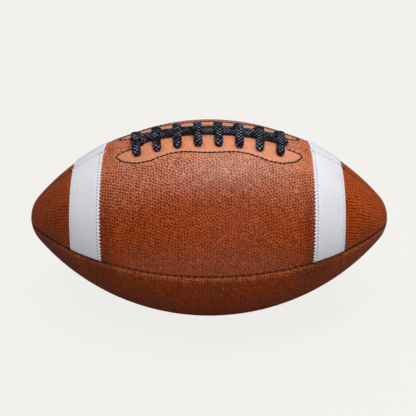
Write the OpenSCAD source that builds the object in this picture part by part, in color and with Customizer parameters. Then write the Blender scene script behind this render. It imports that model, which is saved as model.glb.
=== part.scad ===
// American football, standing on its bottom seam with the lacing on top.
// +X runs along the ball, -Y is the front and +Z is up. The origin is under the middle of the ball.
// Places on the skin are given by three values: x or alpha along the ball, the arc from the laced
// seam or the angle theta from it (positive towards the front), and the height h over the leather.

/* [Ball] */
// Length from point to point
ball_length = 290; // [284:1:296]
// Diameter across the middle
ball_diameter = 160; // [156:1:170]
// Radius of the rounded points
nose_radius = 27.3; // [24:0.1:32]
// Angle from the laced seam round to each side seam
side_seam_angle = 92; // [85:1:92]

/* [Skin] */
// Thickness of the leather panels
leather_thickness = 2.2; // [1.8:0.1:2.6]
// Depth of the groove along each seam
groove_depth = 1.5; // [1.2:0.1:1.7]
// Half width of the groove along each seam
groove_half_width = 2.6; // [2.2:0.1:3.4]
// Thickness of the fabric lining
lining_thickness = 0.8; // [0.6:0.1:1.2]
// Thickness of the rubber bladder
bladder_thickness = 1.2; // [0.8:0.1:1.6]
// Gap between two layers
layer_gap = 0.3; // [0.25:0.05:0.4]

/* [Stripes] */
// Distance from the middle between the stripes to the inner edge of a stripe
stripe_inner_x = 80.3; // [78:0.1:84]
// Shift of all the stripes along the ball from its middle
stripe_shift = -1.5; // [-2:0.1:2]
// Width of a stripe along the ball
stripe_width = 25.5; // [22:0.5:28]
// Thickness of a stripe
stripe_thickness = 0.8; // [0.6:0.1:1.2]
// Lift of a stripe over the true skin, which the flat facets stay under
stripe_lift = 0.12; // [0.1:0.01:0.2]

/* [Lace] */
// Radius of the lace
lace_radius = 2.3; // [2:0.05:2.35]
// Number of crosses
cross_count = 8; // [6:1:8]
// Distance between two crosses
cross_pitch = 15.8; // [15.2:0.1:16.2]
// Shift of the whole lacing along the ball from its middle
lace_shift = -1; // [-1.5:0.1:1.5]
// Distance of the lace holes from the laced seam
hole_arc = 16.5; // [16:0.1:17.2]
// Slant of a cross, from its middle to a hole
cross_slant = 0.6; // [0:0.1:0.8]
// Gap round the lace in its holes
hole_clear = 0.3; // [0.2:0.05:0.4]
// Gap between two strands that pass or cross each other
strand_gap = 0.45; // [0.42:0.01:0.6]
// Radius of the bends of the lace
bend_radius = 3; // [2.8:0.1:3.2]
// Depth of the valley that the two long runs lie in
valley_depth = 2.6; // [2.4:0.1:2.8]
// Half width of that valley
valley_half_width = 8; // [7.6:0.1:8.4]

/* [Facing] */
// Half length of the lace facing
facing_half_length = 72.4; // [71:0.2:74]
// Width of the stitched facing outline, from the seam
facing_width = 29.8; // [28:0.2:31]
// Thickness of the facing
facing_thickness = 1.2; // [1:0.1:1.6]
// Thickness of the tongue under the lace
tongue_thickness = 1; // [0.8:0.1:1.4]

/* [Stitching] */
// Distance between two stitches of a seam
seam_pitch = 5.2; // [4.8:0.1:6]
// Length of one seam stitch
seam_stitch_length = 2.4; // [2:0.1:2.8]
// Radius of the seam thread
seam_thread_radius = 0.4; // [0.3:0.05:0.45]
// Distance between two stitches of the facing outline
facing_pitch = 3.6; // [3.4:0.1:5]
// Length of one stitch of the facing outline
facing_stitch_length = 2.9; // [2.4:0.1:3]
// Radius of the facing thread
facing_thread_radius = 0.35; // [0.25:0.05:0.45]

/* [Valve] */
// Radius of the needle bore
needle_radius = 1; // [0.8:0.05:1.2]
// Radius of the valve plug
plug_radius = 2.4; // [2.2:0.1:2.8]
// Radius of the valve stem
stem_radius = 4; // [3.6:0.1:4.4]
// Length of the valve plug
plug_length = 14; // [12:0.5:16]

/* [Hidden] */

$fn = 96;
// How far a cut runs past what it cuts
overrun = 1;

// Shape of the ball
ball_r = ball_diameter / 2;
half_length = ball_length / 2;
meridian_r = (half_length ^ 2 + ball_r ^ 2 - 2 * half_length * nose_radius)
    / (2 * (ball_r - nose_radius));
meridian_drop = meridian_r - ball_r;
nose_x = half_length - nose_radius;
nose_alpha = atan2(nose_x, meridian_drop);

function radius_at(alpha, h = 0) = abs(alpha) > nose_alpha
    ? (nose_radius + h) * cos(alpha)
    : (meridian_r + h) * cos(alpha) - meridian_drop;

function x_at(alpha, h = 0) = abs(alpha) > nose_alpha
    ? sign(alpha) * nose_x + (nose_radius + h) * sin(alpha)
    : (meridian_r + h) * sin(alpha);

function alpha_of(x) = asin(x / meridian_r);
function theta_of(alpha, arc) = arc / radius_at(alpha) * 180 / PI;
function turn_of(arc) = arc / ball_r * 180 / PI;

// Layers under the leather, as depths below the true skin
lining_top = leather_thickness + layer_gap;
lining_bottom = lining_top + lining_thickness;
facing_top = lining_bottom + layer_gap;
facing_bottom = facing_top + facing_thickness;
bladder_top = lining_bottom + layer_gap;
bladder_bottom = bladder_top + bladder_thickness;

// Grid of a panel: stations along the ball and columns across the panel
edge_column_share = [0, 0.11, 0.25, 0.45, 0.7, 1];
edge_zone_share = 0.6;
middle_columns = 5;
valley_run_off = 10;
valley_length_margin = 6;
valley_bottom_share = 0.25;
nose_steps = 3;
outer_steps = 5;
valley_steps = 3;

function smooth(t) = let (u = max(0, min(1, t))) u * u * (3 - 2 * u);

lacing_half_length = (cross_count - 1) / 2 * cross_pitch;
valley_x = lacing_half_length + valley_length_margin;
valley_alpha = alpha_of(valley_x);
valley_end_alpha = alpha_of(valley_x + valley_run_off);

half_alphas = concat(
    [for (i = [1:valley_steps]) valley_alpha * i / valley_steps],
    [for (i = [0:outer_steps - 1]) valley_end_alpha + (nose_alpha - valley_end_alpha) * i / outer_steps],
    [for (i = [0:nose_steps]) nose_alpha + (90 - nose_alpha) * i / nose_steps]
);
panel_alphas = concat(
    [for (i = [len(half_alphas) - 1:-1:0]) -half_alphas[i]],
    [0],
    half_alphas
);

function groove(arc, zone) =
    groove_depth * zone / valley_half_width * (1 - smooth(arc / (groove_half_width * zone / valley_half_width)));

function valley(alpha, arc) =
    valley_depth
    * (1 - smooth((arc / valley_half_width - valley_bottom_share) / (1 - valley_bottom_share)))
    * max(0, min(1, (valley_end_alpha - abs(alpha)) / (valley_end_alpha - valley_alpha)));

// Arcs of the columns of a panel that is as wide as the given arc
function zone_of(width) = min(valley_half_width, width / 2 * edge_zone_share);
function columns(width) = let (zone = zone_of(width)) concat(
    [for (share = edge_column_share) zone * share],
    [for (i = [1:middle_columns * 2 - 1]) zone + (width - 2 * zone) * i / (middle_columns * 2)],
    [for (i = [len(edge_column_share) - 1:-1:0]) width - zone * edge_column_share[i]]
);

// The lowest leather lies beside the groove of the bottom seam
ball_z = max([for (arc = columns(ball_r * (180 - side_seam_angle) * PI / 180))
    (ball_r - groove(arc, valley_half_width)) * cos(turn_of(arc))]);

// A point on the skin, at a height over it
function skin(alpha, theta, h) = let (r = radius_at(alpha, h))
    [x_at(alpha, h), -r * sin(theta), ball_z + r * cos(theta)];

// One row of points across a panel, from theta_from towards theta_to
function skin_row(alpha, theta_from, theta_to, h, laced) =
    let (
        width = radius_at(alpha) * abs(theta_to - theta_from) * PI / 180,
        zone = zone_of(width),
        turn = theta_to > theta_from ? 1 : -1
    )
    abs(alpha) == 90 ? [skin(alpha, 0, h)] :
    [for (arc = columns(width))
        skin(alpha, theta_from + turn * theta_of(alpha, arc),
            h - (laced ? valley(alpha, arc) : 0)
              - (h > -leather_thickness ? groove(min(arc, width - arc), zone) : 0))];

// Faces between two rows of points; a row of one point is a tip
function band(a, a_len, b, b_len) = a_len == 1
    ? [for (j = [0:b_len - 2]) [a, b + j + 1, b + j]]
    : b_len == 1
    ? [for (j = [0:a_len - 2]) [a + j, a + j + 1, b]]
    : [for (j = [0:a_len - 2]) each [[a + j, a + j + 1, b + j + 1], [a + j, b + j + 1, b + j]]];

function flipped(faces) = [for (f = faces) [f[2], f[1], f[0]]];
function last(row) = len(row) - 1;

// A closed solid between an outer and an inner grid of points
module skin_solid(outer, inner, turned) {
    rows = len(outer);
    start = [for (i = 0, s = 0; i < rows; s = s + len(outer[i]), i = i + 1) s];
    total = start[rows - 1] + len(outer[rows - 1]);
    top = [for (i = [0:rows - 2]) each band(start[i], len(outer[i]), start[i + 1], len(outer[i + 1]))];
    bottom = [for (f = top) [f[0] + total, f[2] + total, f[1] + total]];
    near_wall = [for (i = [0:rows - 2]) each let (a = start[i], b = start[i + 1])
        [[a, b, b + total], [a, b + total, a + total]]];
    far_wall = [for (i = [0:rows - 2]) each
        let (a = start[i] + last(outer[i]), b = start[i + 1] + last(outer[i + 1]))
        [[b, a, a + total], [b, a + total, b + total]]];
    first_end = [for (j = [0:1:len(outer[0]) - 2]) each let (a = j)
        [[a + 1, a, a + total], [a + 1, a + total, a + 1 + total]]];
    last_end = [for (j = [0:1:len(outer[rows - 1]) - 2]) each let (a = start[rows - 1] + j)
        [[a, a + 1, a + 1 + total], [a, a + 1 + total, a + total]]];
    faces = concat(top, bottom, near_wall, far_wall, first_end, last_end);
    polyhedron(
        points = concat([for (row = outer) each row], [for (row = inner) each row]),
        faces = turned ? faces : flipped(faces),
        convexity = 6
    );
}

module skin_piece(alphas, theta_from, theta_to, top_h, bottom_h, laced) {
    skin_solid(
        [for (a = alphas) skin_row(a, theta_from, theta_to, top_h, laced)],
        [for (a = alphas) skin_row(a, theta_from, theta_to, bottom_h, laced)],
        theta_to < theta_from
    );
}

// Places a child on the skin: its Z points out, its X along the ball
module on_skin(alpha, theta, h) {
    translate(skin(alpha, theta, h))
        rotate([theta, 0, 0])
            rotate([0, alpha, 0])
                children();
}

// A layer turned round the long axis, from one depth to another and one theta to another
function layer_side(alphas, depth) = [for (a = alphas) [radius_at(a, -depth), x_at(a, -depth)]];
function backwards(list) = [for (i = [len(list) - 1:-1:0]) list[i]];

module turned_layer(alphas, top_depth, bottom_depth, theta_from, theta_to) {
    translate([0, 0, ball_z])
        rotate([0, 90, 0])
            rotate([0, 0, theta_from + 180])
                rotate_extrude(angle = theta_to - theta_from)
                    polygon(concat(layer_side(alphas, top_depth), backwards(layer_side(alphas, bottom_depth))));
}

module turned_lemon(depth) {
    translate([0, 0, ball_z])
        rotate([0, 90, 0])
            rotate_extrude()
                polygon(layer_side(panel_alphas, depth));
}

// Stations between the two ends of a window that is centred on the lacing
function window_alphas(half_x) = [for (i = [-valley_steps:valley_steps]) alpha_of(half_x) * i / valley_steps];

// Lace route: a cross climbs from its hole at a slope to a shoulder beside the run
lace_seat = 0.35;
run_arc = lace_radius + strand_gap;
run_h = lace_radius + lace_seat - valley(0, run_arc);
cross_h = run_h + 2 * lace_radius + strand_gap;
inner_h = -facing_bottom - bend_radius;
cross_slope = 14;
shoulder_share = 1.1;
shoulder_drop_share = 0.13;
shoulder_arc = run_arc + lace_radius * shoulder_share;
shoulder_h = cross_h - lace_radius * shoulder_drop_share;
bend_end_arc = hole_arc - bend_radius * (1 - sin(cross_slope));
bend_end_h = shoulder_h - (bend_end_arc - shoulder_arc) * tan(cross_slope);
bend_start_h = bend_end_h - bend_radius * cos(cross_slope);

// The back run goes down through the port on the seam, the front run down a hole beside it
port_shift = 1;
dive_shift = 3.75;
dive_arc = 6.4;
dive_run_in = 9;
tail_length = 9;
port_x = lace_shift - lacing_half_length - port_shift;
dive_x = port_x + dive_shift;
tail_end_x = port_x - tail_length;
port_shares = [[0, 0, -1], [0.3, 0.1, -0.3], [1, 0.5, 0]];
dive_shares = [[0.55, 0.2, 0.3], [0.29, 0.55, 0.6], [0.07, 0.92, -0.1], [0, 1, -1.3]];

// Half of a cross, as arc and height, from the hole to the top
half_cross = concat(
    [[hole_arc, bend_start_h - lace_radius], [hole_arc, bend_start_h]],
    [for (turn = [1, 2]) let (a = (90 - cross_slope) * turn / 2)
        [hole_arc - bend_radius * (1 - cos(a)), bend_start_h + bend_radius * sin(a)]],
    [[(bend_end_arc + shoulder_arc) / 2, (bend_end_h + shoulder_h) / 2]],
    [[shoulder_arc, shoulder_h], [run_arc, cross_h], [0, cross_h]]
);

function cross_x(i) = lace_shift + (i - (cross_count - 1) / 2) * cross_pitch;
function cross_point(i, p, side) = [cross_x(i) + side * cross_slant * p[0] / hole_arc, side * p[0], p[1]];
function cross_route(i) = concat(
    [for (p = half_cross) cross_point(i, p, 1)],
    [for (k = [len(half_cross) - 2:-1:0]) cross_point(i, half_cross[k], -1)]
);

// The strand that goes down one hole, along under the facing and up another
function inner_route(from, to) =
    let (
        way = [to[0] - from[0], to[1] - from[1]],
        unit = way / norm(way),
        bends = [for (a = [0, 45, 90]) [bend_radius * (1 - cos(a)), inner_h + bend_radius * (1 - sin(a))]],
        straight = norm(way) - 2 * bend_radius
    )
    concat(
        [for (b = bends) [from[0] + unit[0] * b[0], from[1] + unit[1] * b[0], b[1]]],
        straight > 4 * lace_radius
            ? [for (s = [1, 2]) let (d = bend_radius + straight * s / 3)
                [from[0] + unit[0] * d, from[1] + unit[1] * d, inner_h]]
            : [],
        [for (b = backwards(bends)) [to[0] - unit[0] * b[0], to[1] - unit[1] * b[0], b[1]]]
    );

// The free end that starts down a hole and lies under the facing
function tail_route(from, to_x) = let (side = sign(to_x - from[0])) concat(
    [for (a = [0, 45, 90]) [from[0] + side * bend_radius * (1 - cos(a)), from[1],
        inner_h + bend_radius * (1 - sin(a))]],
    [[to_x, from[1], inner_h]]
);

run_steps = 10;
loop_x = lace_shift + lacing_half_length + lace_radius;
back_run_start = port_x + bend_radius + lace_radius;
front_run_end = dive_x + dive_run_in;
front_hole = cross_point(0, half_cross[0], 1);

lace_route = concat(
    backwards(tail_route([port_x, 0], tail_end_x)),
    [for (p = port_shares)
        [port_x + bend_radius * p[0], -run_arc * p[1], run_h + bend_radius * p[2]]],
    [for (i = [0:run_steps]) [back_run_start + (loop_x - back_run_start) * i / run_steps, -run_arc, run_h]],
    [for (a = [-60, -30, 0, 30, 60]) [loop_x + run_arc * cos(a), run_arc * sin(a), run_h]],
    [for (i = [0:run_steps]) [loop_x + (front_run_end - loop_x) * i / run_steps, run_arc, run_h]],
    [for (p = dive_shares)
        [dive_x + dive_run_in * p[0], run_arc + (dive_arc - run_arc) * p[1], run_h + lace_radius * p[2]]],
    inner_route([dive_x, dive_arc], front_hole),
    [for (i = [0:cross_count - 1]) each concat(
        cross_route(i),
        i < cross_count - 1
            ? inner_route(cross_point(i, half_cross[0], -1), cross_point(i + 1, half_cross[0], 1))
            : []
    )],
    tail_route(cross_point(cross_count - 1, half_cross[0], -1), 2 * lace_shift - tail_end_x)
);

function skin_place(p) = let (alpha = alpha_of(p[0])) skin(alpha, theta_of(alpha, p[1]), p[2]);
lace_points = [for (p = lace_route) skin_place(p)];

// Least gap between strands of the lace that aren't neighbours along it
near_rings = 5;
lace_gap = min([for (i = [0:len(lace_points) - 1]) for (j = [i + near_rings:1:len(lace_points) - 1])
    norm(lace_points[i] - lace_points[j])]) - 2 * lace_radius;
echo(lace_gap = lace_gap, lace_rings = len(lace_points));

lace_sides = 8;
function unit(v) = v / norm(v);
function tangent(path, i) = unit(path[min(i + 1, len(path) - 1)] - path[max(i - 1, 0)]);

// Side vectors of the rings, carried along the path without twist
function carried(path) = [for (
    i = 0, u = unit(cross(tangent(path, 0), [0, 1, 0]));
    i < len(path);
    i = i + 1, u = i < len(path) ? unit(u - (u * tangent(path, i)) * tangent(path, i)) : u
) u];

module tube(path, r, sides) {
    side = carried(path);
    points = [for (i = [0:len(path) - 1]) let (t = tangent(path, i), v = cross(t, side[i]))
        for (k = [0:sides - 1]) path[i] + r * (cos(360 * k / sides) * side[i] + sin(360 * k / sides) * v)];
    n = len(path) - 1;
    walls = [for (i = [0:n - 1]) for (k = [0:sides - 1])
        let (a = i * sides + k, b = i * sides + (k + 1) % sides)
        each [[a, b + sides, b], [a, a + sides, b + sides]]];
    polyhedron(
        points = points,
        faces = concat(walls, [[for (k = [0:sides - 1]) k]], [[for (k = [sides - 1:-1:0]) n * sides + k]]),
        convexity = 10
    );
}

// Holes for the lace
module lace_hole(x, arc, deep) {
    alpha = alpha_of(x);
    on_skin(alpha, theta_of(alpha, arc), -deep - overrun)
        cylinder(r = lace_radius + hole_clear, h = deep + 2 * overrun);
}

module cross_holes(side, deep) {
    for (i = [0:cross_count - 1]) {
        hole = cross_point(i, half_cross[0], side);
        lace_hole(hole[0], hole[1], deep);
    }
}

// Leather panels
leather_colour = "#9c4a28";

module upper_leather(side) {
    deep = leather_thickness + valley_depth;
    difference() {
        skin_piece(panel_alphas, 0, side * side_seam_angle, 0, -leather_thickness, true);
        cross_holes(side, deep);
        lace_hole(port_x, 0, deep);
        if (side > 0)
            lace_hole(dive_x, dive_arc, deep);
        else
            valve_hole();
    }
}

module lower_leather(side) {
    skin_piece(panel_alphas, side * side_seam_angle, side * 180, 0, -leather_thickness, false);
}

module leather_upper_front() {
    color(leather_colour) upper_leather(1);
}

module leather_upper_back() {
    color(leather_colour) upper_leather(-1);
}

module leather_lower_front() {
    color(leather_colour) lower_leather(1);
}

module leather_lower_back() {
    color(leather_colour) lower_leather(-1);
}

// Fabric linings, open under the long runs of the lace
lining_colour = "#c9c1ae";
opening_margin = 2.2;
opening_theta = turn_of(valley_half_width + opening_margin);
opening_half_length = valley_x + valley_run_off;

module lace_opening(top_depth, bottom_depth) {
    turned_layer(window_alphas(opening_half_length), top_depth, bottom_depth, -opening_theta, opening_theta);
}

module upper_lining(side) {
    difference() {
        turned_layer(panel_alphas, lining_top, lining_bottom, min(0, side * side_seam_angle),
            max(0, side * side_seam_angle));
        lace_opening(lining_top - overrun, lining_bottom + overrun);
        cross_holes(side, lining_bottom);
        if (side < 0)
            valve_hole();
    }
}

module lower_lining(side) {
    turned_layer(panel_alphas, lining_top, lining_bottom,
        side > 0 ? side_seam_angle : 180, side > 0 ? 180 : 360 - side_seam_angle);
}

module lining_upper_front() {
    color(lining_colour) upper_lining(1);
}

module lining_upper_back() {
    color(lining_colour) upper_lining(-1);
}

module lining_lower_front() {
    color(lining_colour) lower_lining(1);
}

module lining_lower_back() {
    color(lining_colour) lower_lining(-1);
}

// Stripes, sewn on the two laced panels
stripe_colour = "#dcdde2";
stripe_steps = 4;

module stripe(side, end) {
    inner = alpha_of(stripe_shift + end * stripe_inner_x);
    outer = alpha_of(stripe_shift + end * (stripe_inner_x + stripe_width));
    alphas = [for (i = [0:stripe_steps]) min(inner, outer) + abs(outer - inner) * i / stripe_steps];
    color(stripe_colour)
        skin_piece(alphas, 0, side * side_seam_angle, stripe_lift + stripe_thickness, stripe_lift, false);
}

module stripe_front_left() {
    stripe(1, -1);
}

module stripe_front_right() {
    stripe(1, 1);
}

module stripe_back_left() {
    stripe(-1, -1);
}

module stripe_back_right() {
    stripe(-1, 1);
}

// Lace
module lace() {
    color("#22242b") tube(lace_points, lace_radius, lace_sides);
}

// Facings under the holes, and the tongue under the lace
recess_margin = 2.3;
tongue_margin = 2.4;
recess_theta = turn_of(facing_width + recess_margin);
recess_half_length = facing_half_length + recess_margin;
tongue_theta = recess_theta - turn_of(tongue_margin);
tongue_half_length = recess_half_length - tongue_margin;
tongue_top = -inner_h + lace_radius + layer_gap;
recess_depth = tongue_top + tongue_thickness + layer_gap;

module facing(side) {
    near = opening_theta;
    far = turn_of(facing_width);
    difference() {
        turned_layer(window_alphas(facing_half_length), facing_top, facing_bottom,
            side > 0 ? near : -far, side > 0 ? far : -near);
        cross_holes(side, facing_bottom);
    }
}

module lace_facing_front() {
    color("#7a5236") facing(1);
}

module lace_facing_back() {
    color("#7a5236") facing(-1);
}

module lace_tongue() {
    color("#8b6a4a")
        turned_layer(window_alphas(tongue_half_length), tongue_top, tongue_top + tongue_thickness,
            -tongue_theta, tongue_theta);
}

// Bladder, drawn in under the lace
module bladder_recess(grow) {
    turned_layer(window_alphas(recess_half_length + grow), bladder_top - overrun, recess_depth + grow,
        -recess_theta - turn_of(grow), recess_theta + turn_of(grow));
}

module bladder() {
    color("#2f2f31")
        difference() {
            turned_lemon(bladder_top);
            bladder_recess(0);
            difference() {
                turned_lemon(bladder_bottom);
                bladder_recess(bladder_thickness);
            }
            valve_hole();
        }
}

// Valve, in the middle of the upper back panel
valve_theta = -side_seam_angle / 2;
valve_clear = 0.3;
valve_sink = 0.5;
plug_fit = 0.05;
patch_radius = 11;
patch_thickness = 1.2;
patch_spare = 3;
patch_top = bladder_bottom + layer_gap;
collar_radius = 6.5;
collar_thickness = 1.6;
// The flat collar clears the patch, which curves towards it both ways
patch_inner_r = ball_r - patch_top - patch_thickness;
collar_sag = patch_inner_r - sqrt(patch_inner_r ^ 2 - collar_radius ^ 2);
collar_top = patch_top + patch_thickness + layer_gap + 2 * collar_sag;
stem_end = plug_length + valve_sink;

module along_valve(depth) {
    on_skin(0, valve_theta, -depth) children();
}

module valve_hole() {
    along_valve(stem_end)
        cylinder(r = stem_radius + valve_clear, h = stem_end + overrun);
}

module valve_patch() {
    color("#3a3a3c")
        difference() {
            intersection() {
                turned_layer(panel_alphas, patch_top, patch_top + patch_thickness,
                    valve_theta - turn_of(patch_radius + patch_spare),
                    valve_theta + turn_of(patch_radius + patch_spare));
                along_valve(stem_end) cylinder(r = patch_radius, h = stem_end);
            }
            valve_hole();
        }
}

module valve_housing() {
    color("#1f1f20")
        difference() {
            union() {
                along_valve(stem_end) cylinder(r = stem_radius, h = plug_length);
                along_valve(collar_top + collar_thickness) cylinder(r = collar_radius, h = collar_thickness);
            }
            along_valve(stem_end + overrun) cylinder(r = plug_radius + plug_fit, h = plug_length + 2 * overrun);
        }
}

module valve_plug() {
    color("#101010")
        along_valve(stem_end)
            difference() {
                cylinder(r = plug_radius, h = plug_length);
                translate([0, 0, -overrun]) cylinder(r = needle_radius, h = plug_length + 2 * overrun);
            }
}

// Seam stitches, short bars that lie slanting in the grooves, and over the stripes beside them
thread_colour = "#1c1512";
thread_sides = 6;
seam_slant = 35;
seam_sink_share = 0.37;
seam_end_share = 0.96;
seam_end_x = x_at(nose_alpha) * seam_end_share;

module bar(length, r) {
    rotate([0, 90, 0])
        cylinder(r = r, h = length, center = true, $fn = thread_sides);
}

seam_stitch_reach = seam_stitch_length / 2;
function over_stripe(x) =
    abs(x - stripe_shift) > stripe_inner_x - seam_stitch_reach
    && abs(x - stripe_shift) < stripe_inner_x + stripe_width + seam_stitch_reach;

// Stitches at even arcs along a seam; on a bare seam no stripe lies beside them
module seam_stitches(theta, x_from, x_to, bare) {
    alpha_from = alpha_of(x_from);
    alpha_to = alpha_of(x_to);
    step = seam_pitch / meridian_r * 180 / PI;
    count = floor((alpha_to - alpha_from) / step);
    first = (alpha_from + alpha_to - count * step) / 2;
    color(thread_colour)
        for (i = [0:count]) {
            alpha = first + i * step;
            lift = !bare && over_stripe(x_at(alpha)) ? stripe_lift + stripe_thickness : 0;
            on_skin(alpha, theta, lift - groove_depth * seam_sink_share)
                rotate([0, 0, seam_slant])
                    bar(seam_stitch_length, seam_thread_radius);
        }
}

module seam_thread_front() {
    seam_stitches(side_seam_angle, -seam_end_x, seam_end_x, false);
}

module seam_thread_back() {
    seam_stitches(-side_seam_angle, -seam_end_x, seam_end_x, false);
}

module seam_thread_bottom() {
    seam_stitches(180, -seam_end_x, seam_end_x, true);
}

module seam_thread_top_left() {
    seam_stitches(0, -seam_end_x, -opening_half_length, false);
}

module seam_thread_top_right() {
    seam_stitches(0, opening_half_length, seam_end_x, false);
}

// Stitched outline of the facings, as shares of the facing's half length and width
outline_share = [
    [0.80, 0.27], [0.85, 0.30], [0.93, 0.355], [1, 0.445], [0.92, 0.73], [0.77, 0.955], [0.63, 1],
    [0.53, 0.935], [0.40, 0.865], [0.28, 0.85], [0.12, 0.915], [0, 0.945]
];
outline = concat(
    [for (p = outline_share) [-p[0] * facing_half_length, p[1] * facing_width]],
    [for (i = [len(outline_share) - 2:-1:0])
        [outline_share[i][0] * facing_half_length, outline_share[i][1] * facing_width]]
);
outline_length = [for (i = 0, s = 0; i < len(outline);
    s = s + norm(outline[min(i + 1, len(outline) - 1)] - outline[i]), i = i + 1) s];
outline_x = [for (i = [0:len(outline) - 1]) [outline_length[i], outline[i][0]]];
outline_arc = [for (i = [0:len(outline) - 1]) [outline_length[i], outline[i][1]]];
facing_stitch_clear = 0.08;
facing_stitch_h = facing_thread_radius + facing_stitch_clear;

module facing_stitches(side) {
    count = floor(outline_length[len(outline) - 1] / facing_pitch);
    reach = facing_stitch_length / 2;
    color(thread_colour)
        for (i = [0:count - 1]) {
            s = (i + 0.5) * facing_pitch;
            x = lookup(s, outline_x);
            arc = lookup(s, outline_arc);
            along = lookup(s + reach, outline_x) - lookup(s - reach, outline_x);
            across = lookup(s + reach, outline_arc) - lookup(s - reach, outline_arc);
            alpha = alpha_of(x);
            on_skin(alpha, side * theta_of(alpha, arc), facing_stitch_h - valley(alpha, arc))
                rotate([0, 0, -side * atan2(across, along)])
                    bar(facing_stitch_length, facing_thread_radius);
        }
}

module facing_thread_front() {
    facing_stitches(1);
}

module facing_thread_back() {
    facing_stitches(-1);
}

leather_upper_front();
leather_upper_back();
leather_lower_front();
leather_lower_back();
lining_upper_front();
lining_upper_back();
lining_lower_front();
lining_lower_back();
stripe_front_left();
stripe_front_right();
stripe_back_left();
stripe_back_right();
lace();
lace_facing_front();
lace_facing_back();
lace_tongue();
bladder();
valve_patch();
valve_housing();
valve_plug();
seam_thread_front();
seam_thread_back();
seam_thread_bottom();
seam_thread_top_left();
seam_thread_top_right();
facing_thread_front();
facing_thread_back();
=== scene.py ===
"""Looks of an american football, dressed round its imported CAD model.

The ball lies on its bottom seam with the lacing on top. X runs from point to point, the front
is towards -Y and Z is up. All lengths are in metres and all angles in radians, unless a name or
a helper says millimetres or degrees.
"""

import logging
import math
import random
from collections.abc import Iterable, Sequence
from dataclasses import dataclass, field
from enum import Enum

import bmesh
import bpy
import numpy as np
from bmesh.types import BMesh
from bpy.types import Material, Mesh
from mathutils import Matrix, Vector, kdtree


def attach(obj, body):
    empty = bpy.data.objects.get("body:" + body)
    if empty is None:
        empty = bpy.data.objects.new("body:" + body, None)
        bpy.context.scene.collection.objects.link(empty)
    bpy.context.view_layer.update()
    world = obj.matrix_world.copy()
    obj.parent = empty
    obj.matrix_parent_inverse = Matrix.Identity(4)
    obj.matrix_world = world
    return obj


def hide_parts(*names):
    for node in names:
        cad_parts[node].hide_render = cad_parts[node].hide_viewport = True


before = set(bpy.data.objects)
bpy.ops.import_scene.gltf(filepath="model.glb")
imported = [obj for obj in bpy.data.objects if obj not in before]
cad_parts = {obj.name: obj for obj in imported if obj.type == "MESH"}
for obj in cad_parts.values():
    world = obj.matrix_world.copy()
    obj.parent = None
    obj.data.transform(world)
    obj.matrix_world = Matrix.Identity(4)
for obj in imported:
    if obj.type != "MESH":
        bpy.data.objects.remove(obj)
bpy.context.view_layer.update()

log = logging.getLogger("football")

Array = np.ndarray
Numbers = Array | float
Pair = tuple[float, float]
Spot = tuple[float, float, float]
Term = "Value | float"

MM = 0.001
MERGE_DISTANCE = 1e-6
HOLE_SIDES = 32
MIX_SOCKETS = (0, 6, 7)
MIX_OUTPUT = 2


def mm(length: float) -> float:
    """Returns a length of so many millimetres in metres."""
    return length * MM


def smooth(value: Numbers) -> Array:
    """Returns an even step from 0 to 1 as the value goes from 0 to 1."""
    held = np.clip(value, 0.0, 1.0)
    return held * held * (3 - 2 * held)


def rise(value: Numbers, start: float, length: float) -> Array:
    """Returns an even step from 0 to 1 that begins at the start and takes the length."""
    return smooth((value - start) / length)


def bell(distance: Array, width: float) -> Array:
    """Returns 1 at distance 0, falling to nothing a few widths away."""
    return np.exp(-((distance / width) ** 2))


def rgb(red: int, green: int, blue: int) -> tuple[float, float, float, float]:
    """Turns a colour as a screen shows it into the linear colour of a shader.

    Args:
        red: Red from 0 to 255.
        green: Green from 0 to 255.
        blue: Blue from 0 to 255.

    Returns:
        Linear red, green and blue, and an alpha of 1.
    """
    knee, slope, offset, power = 0.04045, 12.92, 0.055, 2.4
    linear = [
        c / slope if c <= knee else ((c + offset) / (1 + offset)) ** power
        for c in (red / 255, green / 255, blue / 255)
    ]
    return (*linear, 1.0)


# Named choices


class Side(Enum):
    """The half of the ball that a piece lies on, with the sign of its turn from the laced seam."""

    FRONT = 1
    BACK = -1


class End(Enum):
    """The end of the ball that a piece lies at, with the sign of its place along X."""

    LEFT = -1
    RIGHT = 1


class Strand(Enum):
    """What a stretch of the lace does, which settles how its oval section lies."""

    RUN = 0
    CROSS = 1
    HIDDEN = 2


# The ball's skin


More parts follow.
